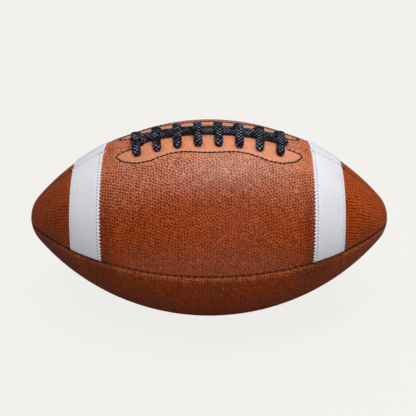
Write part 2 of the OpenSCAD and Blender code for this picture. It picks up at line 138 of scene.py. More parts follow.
@dataclass(frozen=True)
class Skin:
    """The ball's true skin: a flat arc turned round the long axis, with a rounded point at each end.

    A place on it has an alpha, its slope along the ball, a theta, its turn from the laced seam
    towards the front, and a height over the skin.
    """

    length: float = mm(290)
    diameter: float = mm(160)
    nose_radius: float = mm(27.3)
    side_seam: float = math.radians(92)
    centre_z: float = mm(79.919)

    @property
    def middle_radius(self) -> float:
        """Radius of the ball at its middle."""
        return self.diameter / 2

    @property
    def arc_radius(self) -> float:
        """Radius of the flat arc along the ball."""
        half = self.length / 2
        reach = half**2 + self.middle_radius**2 - 2 * half * self.nose_radius
        return reach / (2 * (self.middle_radius - self.nose_radius))

    @property
    def drop(self) -> float:
        """Depth of the arc's centre beyond the long axis."""
        return self.arc_radius - self.middle_radius

    @property
    def nose_x(self) -> float:
        """Place along X of a rounded point's centre."""
        return self.length / 2 - self.nose_radius

    @property
    def nose_alpha(self) -> float:
        """Slope at which the arc passes into a rounded point."""
        return math.atan2(self.nose_x, self.drop)

    @property
    def half_meridian(self) -> float:
        """Length of the skin from the middle of the ball to a tip."""
        nose = self.nose_radius * (math.pi / 2 - self.nose_alpha)
        return self.arc_radius * self.nose_alpha + nose

    def radius(self, alpha: Array, height: Numbers = 0.0) -> Array:
        """Works out distances from the long axis.

        Args:
            alpha: Slopes along the ball.
            height: Heights over the skin.

        Returns:
            One distance for each place.
        """
        nose = (self.nose_radius + height) * np.cos(alpha)
        flank = (self.arc_radius + height) * np.cos(alpha) - self.drop
        return np.where(np.abs(alpha) > self.nose_alpha, nose, flank)

    def x(self, alpha: Array, height: Numbers = 0.0) -> Array:
        """Works out places along X.

        Args:
            alpha: Slopes along the ball.
            height: Heights over the skin.

        Returns:
            One X for each place.
        """
        nose = np.sign(alpha) * self.nose_x + (self.nose_radius + height) * np.sin(alpha)
        flank = (self.arc_radius + height) * np.sin(alpha)
        return np.where(np.abs(alpha) > self.nose_alpha, nose, flank)

    def point(self, alpha: Array, theta: Array, height: Numbers) -> Array:
        """Works out points on the skin or over it.

        Args:
            alpha: Slopes along the ball.
            theta: Turns from the laced seam.
            height: Heights over the skin.

        Returns:
            One row of X, Y and Z for each place.
        """
        alpha = np.asarray(alpha, float)
        r = self.radius(alpha, height)
        rows = (self.x(alpha, height), -r * np.sin(theta), self.centre_z + r * np.cos(theta))
        return np.stack(np.broadcast_arrays(*rows), axis=-1)

    def place(self, points: Array) -> tuple[Array, Array, Array]:
        """Finds where points lie on the skin.

        Args:
            points: Rows of X, Y and Z.

        Returns:
            Their alphas, thetas and heights.
        """
        x, across, up = points[:, 0], -points[:, 1], points[:, 2] - self.centre_z
        r = np.hypot(across, up)
        flank = np.arctan2(x, r + self.drop)
        nose = np.arctan2(x - np.sign(x) * self.nose_x, r)
        alpha = np.where(np.abs(flank) > self.nose_alpha, nose, flank)
        height = (x - self.x(alpha)) * np.sin(alpha) + (r - self.radius(alpha)) * np.cos(alpha)
        return alpha, np.arctan2(across, up), height

    def alpha_at(self, x: Numbers) -> Array:
        """Returns the slope at a place along X between the rounded points."""
        return np.arcsin(np.asarray(x, float) / self.arc_radius)

    def theta_at(self, alpha: Array, arc: Numbers) -> Array:
        """Returns the turn that an arc from the laced seam makes."""
        return arc / self.radius(alpha)

    def spot(self, x: Numbers, arc: Numbers, height: Numbers) -> Array:
        """Returns points at places along X, at arcs from the laced seam and at heights over the skin."""
        alpha = self.alpha_at(x)
        return self.point(alpha, self.theta_at(alpha, arc), height)

    def meridian(self, alpha: Array) -> Array:
        """Works out lengths of skin from the middle of the ball.

        Args:
            alpha: Slopes along the ball.

        Returns:
            Lengths, negative on the left.
        """
        over = np.maximum(np.abs(alpha) - self.nose_alpha, 0)
        flank = np.minimum(np.abs(alpha), self.nose_alpha)
        return np.sign(alpha) * (flank * self.arc_radius + over * self.nose_radius)

    def alpha_of_meridian(self, arc: Array) -> Array:
        """Works out slopes at lengths of skin from the middle of the ball.

        Args:
            arc: Lengths, negative on the left.

        Returns:
            Slopes along the ball.
        """
        flank_length = self.arc_radius * self.nose_alpha
        over = np.maximum(np.abs(arc) - flank_length, 0)
        flank = np.minimum(np.abs(arc), flank_length)
        return np.sign(arc) * (flank / self.arc_radius + over / self.nose_radius)

    def even_alphas(self, steps: int) -> Array:
        """Returns slopes from tip to tip, evenly spaced along the skin."""
        return self.alpha_of_meridian(np.linspace(-self.half_meridian, self.half_meridian, steps + 1))

    def frame(self, alpha: float, theta: float, height: float) -> Matrix:
        """Returns the place whose X runs along the ball and whose Z points away from it."""
        spot = Vector(self.point(alpha, theta, height))
        return Matrix.Translation(spot) @ Matrix.Rotation(theta, 4, "X") @ Matrix.Rotation(alpha, 4, "Y")


@dataclass(frozen=True)
class Relief:
    """How the leather dips: the grooves of the seams and the valley under the lacing."""

    skin: Skin
    groove_depth: float = mm(1.45)
    groove_half_width: float = mm(2.6)
    slit_depth: float = mm(0.55)
    slit_half_width: float = mm(0.9)
    groove_room: float = mm(8)
    room_share: float = 0.3
    least_share: float = 1e-6
    valley_depth: float = mm(2.6)
    valley_half_width: float = mm(8)
    valley_bottom: float = 0.25
    valley_half_length: float = mm(61.3)
    valley_run_off: float = mm(10)
    dent_depth: float = mm(1.7)
    front_dent: Pair = (mm(16), mm(30))
    back_dent: Pair = (mm(24), mm(44))
    dent_half_length: float = mm(58)
    dent_run_off: float = mm(18)

    def groove(self, arc: Array, width: Array) -> Array:
        """Works out how deep the groove of a seam is.

        Args:
            arc: Distances from the seam.
            width: Width of the panel there, because near the tips the groove gets smaller.

        Returns:
            Depths under the skin.
        """
        room = np.minimum(self.groove_room, width * self.room_share)
        share = np.maximum(room / self.groove_room, self.least_share)
        wide = self.groove_depth * (1 - smooth(arc / (self.groove_half_width * share)))
        narrow = self.slit_depth * (1 - smooth(arc / (self.slit_half_width * share)))
        return share * (wide + narrow)

    def valley(self, alpha: Array, arc: Array) -> Array:
        """Works out how deep the valley under the lacing is.

        Args:
            alpha: Slopes along the ball.
            arc: Distances from the laced seam.

        Returns:
            Depths under the skin.
        """
        start = self.skin.alpha_at(self.valley_half_length)
        stop = self.skin.alpha_at(self.valley_half_length + self.valley_run_off)
        share = np.abs(arc) / self.valley_half_width
        across = 1 - smooth((share - self.valley_bottom) / (1 - self.valley_bottom))
        return self.valley_depth * across * smooth((stop - np.abs(alpha)) / (stop - start))

    def dent(self, alpha: Array, arc: Array) -> Array:
        """Works out how far the tight crosses draw all the layers in.

        Args:
            alpha: Slopes along the ball.
            arc: Distances from the laced seam, negative on the back, where the dent is wider.

        Returns:
            Depths under the skin.
        """
        pairs = zip(self.front_dent, self.back_dent)
        start, stop = (np.where(arc < 0, back, front) for front, back in pairs)
        across = 1 - smooth((np.abs(arc) - start) / (stop - start))
        along = 1 - smooth((np.abs(self.skin.x(alpha)) - self.dent_half_length) / self.dent_run_off)
        return self.dent_depth * across * along

    def laced_depth(self, alpha: Array, arc: Array) -> Array:
        """Returns how deep the leather lies near the lacing, in the valley or in the dent."""
        return np.maximum(self.valley(alpha, arc), self.dent(alpha, arc))


# Meshes


def coordinates(mesh: Mesh) -> Array:
    """Reads where a mesh's vertices are.

    Args:
        mesh: The mesh.

    Returns:
        Rows of X, Y and Z.
    """
    flat = np.empty(len(mesh.vertices) * 3, np.float32)
    mesh.vertices.foreach_get("co", flat)
    return flat.reshape(-1, 3).astype(float)


def set_coordinates(mesh: Mesh, points: Array) -> None:
    """Moves a mesh's vertices to the points."""
    mesh.vertices.foreach_set("co", points.astype(np.float32).ravel())
    mesh.update()


def set_attribute(mesh: Mesh, name: str, values: Array) -> None:
    """Keeps one number for each vertex, which a material can read by its name."""
    layer = mesh.attributes.new(name, "FLOAT", "POINT")
    layer.data.foreach_set("value", values.astype(np.float32))


def set_uv(mesh: Mesh, u: Array, v: Array) -> None:
    """Gives each vertex its place on the piece's own pattern, which is kept in millimetres.

    Args:
        mesh: The piece's mesh.
        u: First places, in metres.
        v: Second places, in metres.
    """
    layer = mesh.uv_layers.new(name="pattern")
    corner = np.empty(len(mesh.loops), np.int32)
    mesh.loops.foreach_get("vertex_index", corner)
    both = np.stack([u[corner], v[corner]], axis=-1) / MM
    layer.data.foreach_set("uv", both.astype(np.float32).ravel())


def spun_sheet(
    skin: Skin,
    alphas: Sequence[float],
    height: float,
    start: float,
    stages: Sequence[tuple[float, int]],
    divide: int,
) -> BMesh:
    """Spins a line along the ball into a sheet, whose wide steps are then divided.

    Args:
        skin: The ball's skin.
        alphas: Slopes along the line.
        height: Height of the sheet over the skin.
        start: Theta of the line.
        stages: Turns and their numbers of steps, one after the other.
        divide: Number of columns that each step is divided into.

    Returns:
        The sheet's mesh.
    """
    bm = bmesh.new()
    alphas = np.asarray(alphas)
    points = [Vector(p) for p in skin.point(alphas, start, height)]
    rim = [bmesh.ops.create_vert(bm, co=points[0])["vert"][0]]
    last = rim[0]
    for spot in points[1:]:
        grown = bmesh.ops.extrude_vert_indiv(bm, verts=[last])
        last = grown["verts"][0]
        last.co = spot
        rim += [last, grown["edges"][0]]
    lines = set(rim)
    for turn, steps in stages:
        for _ in range(steps):
            rim = bmesh.ops.spin(
                bm, geom=rim, cent=(0, 0, skin.centre_z), axis=(1, 0, 0), angle=turn / steps, steps=1
            )["geom_last"]
            lines.update(rim)
    if divide > 1:
        bmesh.ops.subdivide_edges(bm, edges=[e for e in bm.edges if e not in lines], cuts=divide - 1)
        order = np.argsort(alphas)
        along, radii = skin.x(alphas, height)[order], skin.radius(alphas, height)[order]
        spots = np.array([v.co for v in bm.verts])
        across = np.hypot(spots[:, 1], spots[:, 2] - skin.centre_z)
        swell = np.interp(spots[:, 0], along, radii) / np.maximum(across, MERGE_DISTANCE)
        for vert, factor in zip(bm.verts, swell):
            vert.co.y *= factor
            vert.co.z = skin.centre_z + (vert.co.z - skin.centre_z) * factor
    bmesh.ops.remove_doubles(bm, verts=bm.verts, dist=MERGE_DISTANCE)
    return bm


def shell(
    skin: Skin,
    alphas: Sequence[float],
    start: float,
    stages: Sequence[tuple[float, int]],
    top: float,
    thickness: float,
    divide: int = 1,
    inner_stages: Sequence[tuple[float, int]] | None = None,
) -> BMesh:
    """Makes a closed layer of the ball out of two spun sheets and the rim between them.

    Args:
        skin: The ball's skin.
        alphas: Slopes along the layer.
        start: Theta of the layer's first long edge.
        stages: Turns and steps of the outer sheet.
        top: Height of the outer sheet over the skin.
        thickness: Thickness of the layer.
        divide: Number of columns that each step is divided into.
        inner_stages: Turns and undivided steps of the inner sheet, where it is coarser.

    Returns:
        The layer's mesh.
    """
    bm = spun_sheet(skin, alphas, top, start, stages, divide)
    inner_divide = 1 if inner_stages else divide
    inner = to_mesh(
        spun_sheet(skin, alphas, top - thickness, start, inner_stages or stages, inner_divide), "inner"
    )
    bm.from_mesh(inner)
    bpy.data.meshes.remove(inner)
    rims = [e for e in bm.edges if e.is_boundary]
    bmesh.ops.bridge_loops(bm, edges=rims)
    bmesh.ops.recalc_face_normals(bm, faces=bm.faces)
    return bm


def to_mesh(bm: BMesh, name: str) -> Mesh:
    """Writes a bmesh into a new mesh and frees it.

    Args:
        bm: The bmesh.
        name: The new mesh's name.

    Returns:
        The new mesh.
    """
    mesh = bpy.data.meshes.new(name)
    bm.to_mesh(mesh)
    bm.free()
    return mesh


def opened(mesh: Mesh) -> BMesh:
    """Reads a mesh into a new bmesh.

    Args:
        mesh: The mesh.

    Returns:
        The bmesh.
    """
    bm = bmesh.new()
    bm.from_mesh(mesh)
    return bm


def linked(name: str, data: bpy.types.ID) -> bpy.types.Object:
    """Makes an object and links it into the scene.

    Args:
        name: The object's name.
        data: Its mesh, camera or lamp.

    Returns:
        The object.
    """
    made = bpy.data.objects.new(name, data)
    bpy.context.scene.collection.objects.link(made)
    return made


def add_cylinder(bm: BMesh, radius: float, depth: float, sides: int, place: Matrix) -> None:
    """Adds a closed cylinder, half of it to each side of its frame.

    Args:
        bm: What it is added to.
        radius: Its radius.
        depth: Its length.
        sides: Its number of flat sides.
        place: Its frame, with Z along it.
    """
    bmesh.ops.create_cone(
        bm, cap_ends=True, segments=sides, radius1=radius, radius2=radius, depth=depth, matrix=place
    )


def boolean(mesh: Mesh, tool: Mesh, operation: str) -> Mesh:
    """Cuts one mesh with another.

    Args:
        mesh: What is cut.
        tool: What cuts it.
        operation: The Boolean operation.

    Returns:
        The new mesh.
    """
    cutter, body = linked("cutter", tool), linked("body", mesh)
    cut = body.modifiers.new("cut", "BOOLEAN")
    cut.operation, cut.solver, cut.object = operation, "MANIFOLD", cutter
    made = bpy.data.meshes.new_from_object(body.evaluated_get(bpy.context.evaluated_depsgraph_get()))
    for item in (cutter, body):
        bpy.data.objects.remove(item)
    return made


def drilled(mesh: Mesh, holes: Iterable[Matrix], radius: float, depth: float) -> Mesh:
    """Cuts round holes through a layer.

    Args:
        mesh: The layer's mesh, which isn't kept.
        holes: Frames of the holes, with Z along each.
        radius: Radius of the holes.
        depth: Length of the cuts, half of it to each side of the frame.

    Returns:
        The mesh with its holes.
    """
    bm = bmesh.new()
    for hole in holes:
        add_cylinder(bm, radius, depth, HOLE_SIDES, hole)
    return boolean(mesh, to_mesh(bm, "cutter"), "DIFFERENCE")


def add_piece(
    name: str,
    mesh: Mesh,
    material: Material,
    nodes: Sequence[str] = (),
) -> bpy.types.Object:
    """Puts a finished piece into the scene.

    Args:
        name: The piece's name.
        mesh: Its mesh, already in place.
        material: Its finish.
        nodes: CAD nodes that the piece stands for.

    Returns:
        The new object.
    """
    mesh.name = name
    mesh.materials.clear()
    mesh.materials.append(material)
    mesh.shade_smooth()
    piece = linked(name, mesh)
    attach(piece, "root")
    if nodes:
        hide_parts(*nodes)
    log.info("%s: %d faces", name, len(mesh.polygons))
    return piece


# Shader graphs


@dataclass(frozen=True)
class Value:
    """One output of a node, on which Python's operators add Math nodes."""

    graph: "Graph"
    socket: bpy.types.NodeSocket

    def _math(self, operation: str, first: Term, second: Term = 0.0) -> "Value":
        """Adds one Math node."""
        return self.graph.node("ShaderNodeMath", {"operation": operation}, {0: first, 1: second})

    def __add__(self, other: Term) -> "Value":
        """Returns the sum."""
        return self._math("ADD", self, other)

    __radd__ = __add__

    def __sub__(self, other: Term) -> "Value":
        """Returns the difference."""
        return self._math("SUBTRACT", self, other)

    def __rsub__(self, other: float) -> "Value":
        """Returns the difference from a number."""
        return self._math("SUBTRACT", other, self)

    def __mul__(self, other: Term) -> "Value":
        """Returns the product."""
        return self._math("MULTIPLY", self, other)

    __rmul__ = __mul__

    def __truediv__(self, other: Term) -> "Value":
        """Returns the quotient."""
        return self._math("DIVIDE", self, other)

    def __rtruediv__(self, other: float) -> "Value":
        """Returns the quotient of a number."""
        return self._math("DIVIDE", other, self)

    def __abs__(self) -> "Value":
        """Returns the size without its sign."""
        return self._math("ABSOLUTE", self)

    def fraction(self) -> "Value":
        """Returns what is left over the whole number below."""
        return self._math("FRACT", self)

    def floor(self) -> "Value":
        """Returns the whole number below."""
        return self._math("FLOOR", self)

    def sine(self) -> "Value":
        """Returns the sine."""
        return self._math("SINE", self)

    def root(self) -> "Value":
        """Returns the square root."""
        return self._math("SQRT", self)

    def most(self, other: Term) -> "Value":
        """Returns the larger of two values."""
        return self._math("MAXIMUM", self, other)

    def step(self, low: float, high: float) -> "Value":
        """Adds a smooth step.

        Args:
            low: Where it is 0.
            high: Where it is 1.

        Returns:
            The step.
        """
        return self.graph.node(
            "ShaderNodeMapRange",
            {"interpolation_type": "SMOOTHSTEP"},
            {"Value": self, "From Min": low, "From Max": high},
        )


class Graph:
    """The nodes of one material."""

    def __init__(self, name: str) -> None:
        """Starts a material with an output.

        Args:
            name: The material's name.
        """
        self.material = bpy.data.materials.new(name)
        self.material.use_nodes = True
        self.tree = self.material.node_tree
        self.tree.nodes.clear()
        self.output = self.tree.nodes.new("ShaderNodeOutputMaterial")

    def node(
        self,
        kind: str,
        settings: dict[str, object] | None = None,
        values: dict[int | str, object] | None = None,
        output: int | str = 0,
    ) -> Value:
        """Adds a node.

        Args:
            kind: The node's type.
            settings: What is set on the node itself, such as an operation.
            values: Numbers, colours or links of its sockets.
            output: The socket that is handed back.

        Returns:
            That output.
        """
        made = self.tree.nodes.new(kind)
        for key, value in (settings or {}).items():
            setattr(made, key, value)
        for key, value in (values or {}).items():
            self.feed(made.inputs[key], value)
        return Value(self, made.outputs[output])

    def feed(self, socket: bpy.types.NodeSocket, value: object) -> None:
        """Links or sets one socket.

        Args:
            socket: The socket.
            value: Another node's output, or a number or colour.
        """
        if isinstance(value, Value):
            self.tree.links.new(value.socket, socket)
        else:
            socket.default_value = value

    def place(self) -> Value:
        """Returns the point on the object, in metres."""
        return self.node("ShaderNodeTexCoord", output="Object")

    def attribute(self, name: str) -> Value:
        """Returns a number that the mesh keeps."""
        return self.node("ShaderNodeAttribute", {"attribute_name": name}, output="Fac")

    def pattern(self) -> tuple[Value, Value]:
        """Returns the two places on the piece's own pattern, in millimetres."""
        uv = self.node("ShaderNodeUVMap", {"uv_map": "pattern"})
        split = self.node("ShaderNodeSeparateXYZ", values={0: uv})
        return split, Value(self, split.socket.node.outputs[1])

    def noise(self, per_metre: float, detail: float) -> Value:
        """Returns cloudy noise from 0 to 1, with so many clouds to the metre."""
        values = {"Vector": self.place(), "Scale": per_metre, "Detail": detail}
        return self.node("ShaderNodeTexNoise", values=values)

    def mix(self, share: Value | float, low: object, high: object) -> Value:
        """Returns a colour between two colours."""
        values = dict(zip(MIX_SOCKETS, (share, low, high)))
        return self.node("ShaderNodeMix", {"data_type": "RGBA"}, values, MIX_OUTPUT)

    def bump(self, height: Value, depth: float, strength: float) -> Value:
        """Returns a normal that is bent by a height, whose 1 stands for the depth."""
        values = {"Height": height, "Distance": depth, "Strength": strength}
        return self.node("ShaderNodeBump", values=values)

    def finish(self, **sockets: object) -> Material:
        """Adds the Principled shader.

        Args:
            sockets: Its sockets by name, with _ for a space.

        Returns:
            The finished material.
        """
        values = {name.replace("_", " "): value for name, value in sockets.items()}
        shader = self.node("ShaderNodeBsdfPrincipled", values=values)
        self.feed(self.output.inputs["Surface"], shader)
        return self.material


# Finishes


@dataclass(frozen=True)
class PebbledLeather:
    """Tanned leather with dark raised pebbles on a lighter ground, smoother and paler by the lacing, where
    the paler colour is partly a painted highlight.
    """

    name: str = "pebbled_leather"
    pebble: tuple = rgb(112, 34, 0)
    ground: tuple = rgb(188, 82, 22)
    # Paler colours by the lacing: partly paler leather, partly a painted highlight on the top of the ball.
    pale_pebble: tuple = rgb(128, 42, 10)
    pale_and_highlit_ground: tuple = rgb(222, 140, 100)
    # Dark colour for random soiling and the darker ends, and also for painted shade underneath, low beside
    # the stripes and in the seam grooves.
    soiled_and_shaded: tuple = rgb(58, 16, 0)
    pebble_from: float = 0.04
    pebble_to: float = 0.5
    blotches: Pair = (24, 3)
    specks: Pair = (420, 3)
    grains: Pair = (2600, 2)
    blotch_range: Pair = (0.4, 0.75)
    speck_range: Pair = (0.45, 0.8)
    speck_bite: float = 0.3
    pale_drift: float = 0.25
    soiling: float = 0.14
    seam_share: float = 0.9
    ground_roughness: float = 0.1
    speck_roughness: float = 0.14
    grain_share: float = 0.4
    bump: Pair = (mm(0.12), 0.5)
    roughness: float = 0.47
    coat_roughness: float = 0.45
    specular: float = 0.1

    def material(self) -> Material:
        """Returns the finish, which reads the panel's five attributes."""
        graph = Graph(self.name)
        blotch = graph.noise(*self.blotches)
        speck = graph.noise(*self.specks)
        grain = graph.noise(*self.grains)
        kept = ("pebble", "pale", "tone", "seam", "shine")
        pebble, pale, tone, seam, shine = (graph.attribute(name) for name in kept)
        top = (pebble + (speck - 0.5) * self.speck_bite).step(self.pebble_from, self.pebble_to)
        deep = graph.mix(top, self.ground, self.pebble)
        light = graph.mix(top, self.pale_and_highlit_ground, self.pale_pebble)
        # Paler towards the lacing, partly a painted highlight on the top.
        colour = graph.mix(pale + (blotch - 0.5) * self.pale_drift, deep, light)
        blotched = blotch.step(*self.blotch_range) * self.soiling
        specked = speck.step(*self.speck_range) * self.soiling
        # Random soiling, the darker ends, and painted shade underneath, beside the stripes and in the seam
        # grooves, all in the dark colour.
        for share in (blotched, specked, tone, seam * self.seam_share):
            colour = graph.mix(share, colour, self.soiled_and_shaded)
        rough = (1 - top) * self.ground_roughness + (speck - 0.5) * self.speck_roughness
        height = grain * self.grain_share + speck * (1 - self.grain_share)
        normal = graph.bump(height, *self.bump)
        return graph.finish(
            Base_Color=colour,
            Roughness=self.roughness + rough,
            Specular_IOR_Level=self.specular,
            Coat_Weight=shine,
            Coat_Roughness=self.coat_roughness,
            Normal=normal,
        )


@dataclass(frozen=True)
class StripeLeather:
    """White painted leather with a fine grain and a row of needle holes along each edge, the holes painted
    dark as shade.
    """

    rows: Pair
    pitch: float
    name: str = "stripe_leather"
    white: tuple = rgb(238, 238, 243)
    hollow: tuple = rgb(222, 223, 230)
    # Grey for random soiling, also used for painted shade in the seam grooves.
    soil_and_shade: tuple = rgb(176, 174, 176)
    # Painted shade inside the needle holes.
    hole: tuple = rgb(70, 72, 78)
    strengths: Pair = (0.95, 0.3)
    blotches: Pair = (45, 3)
    grains: Pair = (900, 2)
    grain_range: Pair = (0.3, 0.7)
    hole_range: Pair = (0.3, 0.75)
    pebble_range: Pair = (0.0, 0.5)
    soil_range: Pair = (0.5, 0.8)
    pebble_share: float = 0.4
    soiling: float = 0.14
    seam_share: float = 0.35
    grain_height: float = 0.5
    hole_height: float = 1.5
    bump: Pair = (mm(0.12), 0.6)
    roughness: float = 0.45
    grain_roughness: float = 0.12

    def material(self) -> Material:
        """Returns the finish, which reads the stripe's pebble and seam attributes and its pattern."""
        graph = Graph(self.name)
        u, v = graph.pattern()
        pebble, seam = graph.attribute("pebble"), graph.attribute("seam")
        blotch = graph.noise(*self.blotches)
        grain = graph.noise(*self.grains).step(*self.grain_range)
        along = ((v / (self.pitch / MM)).fraction() - 0.5) * (self.pitch / MM)
        holes = None
        for row, strength in zip(self.rows, self.strengths):
            off = u - row / MM
            near = (1 - (off * off + along * along).root().step(*self.hole_range)) * strength
            holes = near if holes is None else holes.most(near)
        raised = pebble.step(*self.pebble_range) * self.pebble_share + grain * (1 - self.pebble_share)
        colour = graph.mix(raised, self.hollow, self.white)
        colour = graph.mix(blotch.step(*self.soil_range) * self.soiling, colour, self.soil_and_shade)
        # Painted shade in the seam grooves.
        colour = graph.mix(seam * self.seam_share, colour, self.soil_and_shade)
        # Painted shade inside the needle holes.
        colour = graph.mix(holes, colour, self.hole)
        height = grain * self.grain_height - holes * self.hole_height
        roughness = self.roughness + grain * self.grain_roughness
        return graph.finish(Base_Color=colour, Roughness=roughness, Normal=graph.bump(height, *self.bump))


@dataclass(frozen=True)
class BraidedCord:
    """Black braided cord: slanting yarns that show as columns of chevrons, with painted highlight strokes on
    the yarns, strongest on the cord's top, and painted shade between the yarns.
    """

    name: str = "braided_cord"
    # Painted shade between the yarns.
    deep: tuple = rgb(1, 1, 2)
    yarn: tuple = rgb(10, 10, 14)
    # Painted highlight strokes on the yarn tops.
    ridge_highlight: tuple = rgb(146, 153, 180)
    yarns: int = 5
    yarn_pitch: float = mm(2.6)
    across_fall: float = 0.95
    along_fall: float = 0.75
    yarn_range: Pair = (0.15, 0.7)
    stroke_across: Pair = (0.5, 0.9)
    stroke_along: Pair = (0.05, 0.5)
    # Noise that breaks up the painted highlight strokes.
    highlight_breakup: Pair = (220, 3)
    highlight_breakup_range: Pair = (0.36, 0.66)
    # The painted highlight strokes are weaker on the cord's sides, down to side_light of them.
    crown_range: Pair = (0.3, 0.95)
    side_light: float = 0.6
    bump: Pair = (mm(0.3), 0.6)
    roughness: float = 0.55
    gap_roughness: float = 0.3
    shine: float = 0.1

    def height(self, along: Array, turn: Array) -> Array:
        """Works out the braid's relief.

        Args:
            along: Lengths along the cord.
            turn: Turns round it, from 0 to 1.

        Returns:
            Heights from 0 between the yarns to 1 on them.
        """
        right = turn * self.yarns + along / self.yarn_pitch
        left = turn * self.yarns - along / self.yarn_pitch
        over = (np.floor(right) + np.floor(left)) % 2
        a, b = right % 1 - 0.5, left % 1 - 0.5
        long, wide = np.where(over > 0, a, b), np.where(over > 0, b, a)
        fall = (wide * 2) ** 2 * self.across_fall + (long * 2) ** 2 * self.along_fall
        return np.sqrt(np.maximum(0, 1 - fall))

    def material(self) -> Material:
        """Returns the finish, which reads the cord's pattern: length along it, and turns round it."""
        graph = Graph(self.name)
        along, turn = graph.pattern()
        pitch = self.yarn_pitch / MM
        right = turn * self.yarns + along / pitch
        left = turn * self.yarns - along / pitch
        over = ((right.floor() + left.floor()) * 0.5).fraction() * 2
        a = (right.fraction() - 0.5) * 2
        b = (left.fraction() - 0.5) * 2
        wide = over * b + (1 - over) * a
        long = over * a + (1 - over) * b
        height = (1 - wide * wide * self.across_fall - long * long * self.along_fall).most(0.0).root()
        stroke = (1 - abs(wide)).step(*self.stroke_across) * (1 - abs(long)).step(*self.stroke_along)
        highlight_breakup = graph.noise(*self.highlight_breakup).step(*self.highlight_breakup_range)
        # The painted highlight strokes are strongest on the top of the oval and weaker on its sides.
        top = abs((turn * (2 * math.pi)).sine()).step(*self.crown_range)
        crown = self.side_light + top * (1 - self.side_light)
        # Painted shade between the yarns.
        colour = graph.mix(height.step(*self.yarn_range), self.deep, self.yarn)
        # Painted highlight strokes on the yarn tops, broken up by noise.
        colour = graph.mix(stroke * crown * highlight_breakup, colour, self.ridge_highlight)
        normal = graph.bump(height, *self.bump)
        roughness = self.roughness + (1 - height) * self.gap_roughness
        return graph.finish(
            Base_Color=colour, Roughness=roughness, Specular_IOR_Level=self.shine, Normal=normal
        )


@dataclass(frozen=True)
class Thread:
    """Twisted sewing thread, its plies painted lighter on their crests and darker between them."""

    name: str
    dark: tuple
    light: tuple
    roughness: float = 0.5
    ply_scale: float = 250.0
    ply_distortion: float = 1.5
    fuzz: Pair = (2400, 2)
    fuzz_share: float = 0.2
    fuzz_roughness: float = 0.15
    bump: Pair = (mm(0.12), 0.7)

    def material(self) -> Material:
        """Returns the finish, with slanting plies across the thread."""
        graph = Graph(self.name)
        plies = graph.node(
            "ShaderNodeTexWave",
            {"bands_direction": "DIAGONAL", "wave_profile": "SIN"},
            {"Vector": graph.place(), "Scale": self.ply_scale, "Distortion": self.ply_distortion},
            output="Fac",
        )
        fuzz = graph.noise(*self.fuzz)
        # Painted highlight on the ply crests and painted shade between them, mixed with random fuzz.
        lit = plies * (1 - self.fuzz_share) + fuzz * self.fuzz_share
        colour = graph.mix(lit, self.dark, self.light)
        roughness = self.roughness + fuzz * self.fuzz_roughness
        return graph.finish(Base_Color=colour, Roughness=roughness, Normal=graph.bump(plies, *self.bump))


@dataclass(frozen=True)
class Cloth:
    """Plain woven lining cloth, with painted shade between its threads."""

    name: str
    thread: tuple
    # Darker colour: painted shade between the threads, and also dust.
    gap_shade_and_dust: tuple
    per_metre: float = 900.0
    dust: Pair = (60, 3)
    weave_range: Pair = (0.3, 1.0)
    dust_range: Pair = (0.5, 0.9)
    dust_share: float = 0.3
    dust_roughness: float = 0.1
    bump: Pair = (mm(0.15), 0.8)
    roughness: float = 0.85

    def material(self) -> Material:
        """Returns the finish, with a weave that follows the pattern of the piece."""
        graph = Graph(self.name)
        u, v = graph.pattern()
        step = math.pi * self.per_metre * MM
        weave = abs((u * step).sine()).most(abs((v * step).sine()))
        dust = graph.noise(*self.dust)
        # Painted shade between the threads.
        colour = graph.mix(weave.step(*self.weave_range), self.gap_shade_and_dust, self.thread)
        # Dust, in the same darker colour.
        colour = graph.mix(dust.step(*self.dust_range) * self.dust_share, colour, self.gap_shade_and_dust)
        roughness = self.roughness + dust * self.dust_roughness
        return graph.finish(Base_Color=colour, Roughness=roughness, Normal=graph.bump(weave, *self.bump))


@dataclass(frozen=True)
class PlainHide:
    """Smooth split leather, as on the facing and the tongue."""

    name: str
    light: tuple
    dark: tuple
    clouds: Pair = (50, 4)
    pores: Pair = (1500, 3)
    cloud_range: Pair = (0.3, 0.75)
    pore_range: Pair = (0.5, 0.8)
    pore_share: float = 0.35
    bump: Pair = (mm(0.15), 0.6)
    roughness: float = 0.6
    cloud_roughness: float = 0.15

    def material(self) -> Material:
        """Returns the finish, with pores and cloudy colour."""
        graph = Graph(self.name)
        cloud = graph.noise(*self.clouds)
        pores = graph.noise(*self.pores)
        colour = graph.mix(cloud.step(*self.cloud_range), self.light, self.dark)
        colour = graph.mix(pores.step(*self.pore_range) * self.pore_share, colour, self.dark)
        roughness = self.roughness + cloud * self.cloud_roughness
        return graph.finish(Base_Color=colour, Roughness=roughness, Normal=graph.bump(pores, *self.bump))


@dataclass(frozen=True)
class Rubber:
    """Moulded black rubber with a fine matt skin."""

    name: str
    light: tuple
    dark: tuple
    roughness: float = 0.6
    bloom: Pair = (120, 4)
    grain: Pair = (3200, 2)
    bloom_range: Pair = (0.35, 0.8)
    bloom_share: float = 0.6
    bloom_roughness: float = 0.15
    bump: Pair = (mm(0.06), 0.5)

    def material(self) -> Material:
        """Returns the finish, with a powdery bloom."""
        graph = Graph(self.name)
        bloom = graph.noise(*self.bloom)
        grain = graph.noise(*self.grain)
        colour = graph.mix(bloom.step(*self.bloom_range) * self.bloom_share, self.dark, self.light)
        roughness = self.roughness + bloom * self.bloom_roughness
        return graph.finish(Base_Color=colour, Roughness=roughness, Normal=graph.bump(grain, *self.bump))


# Pebbles


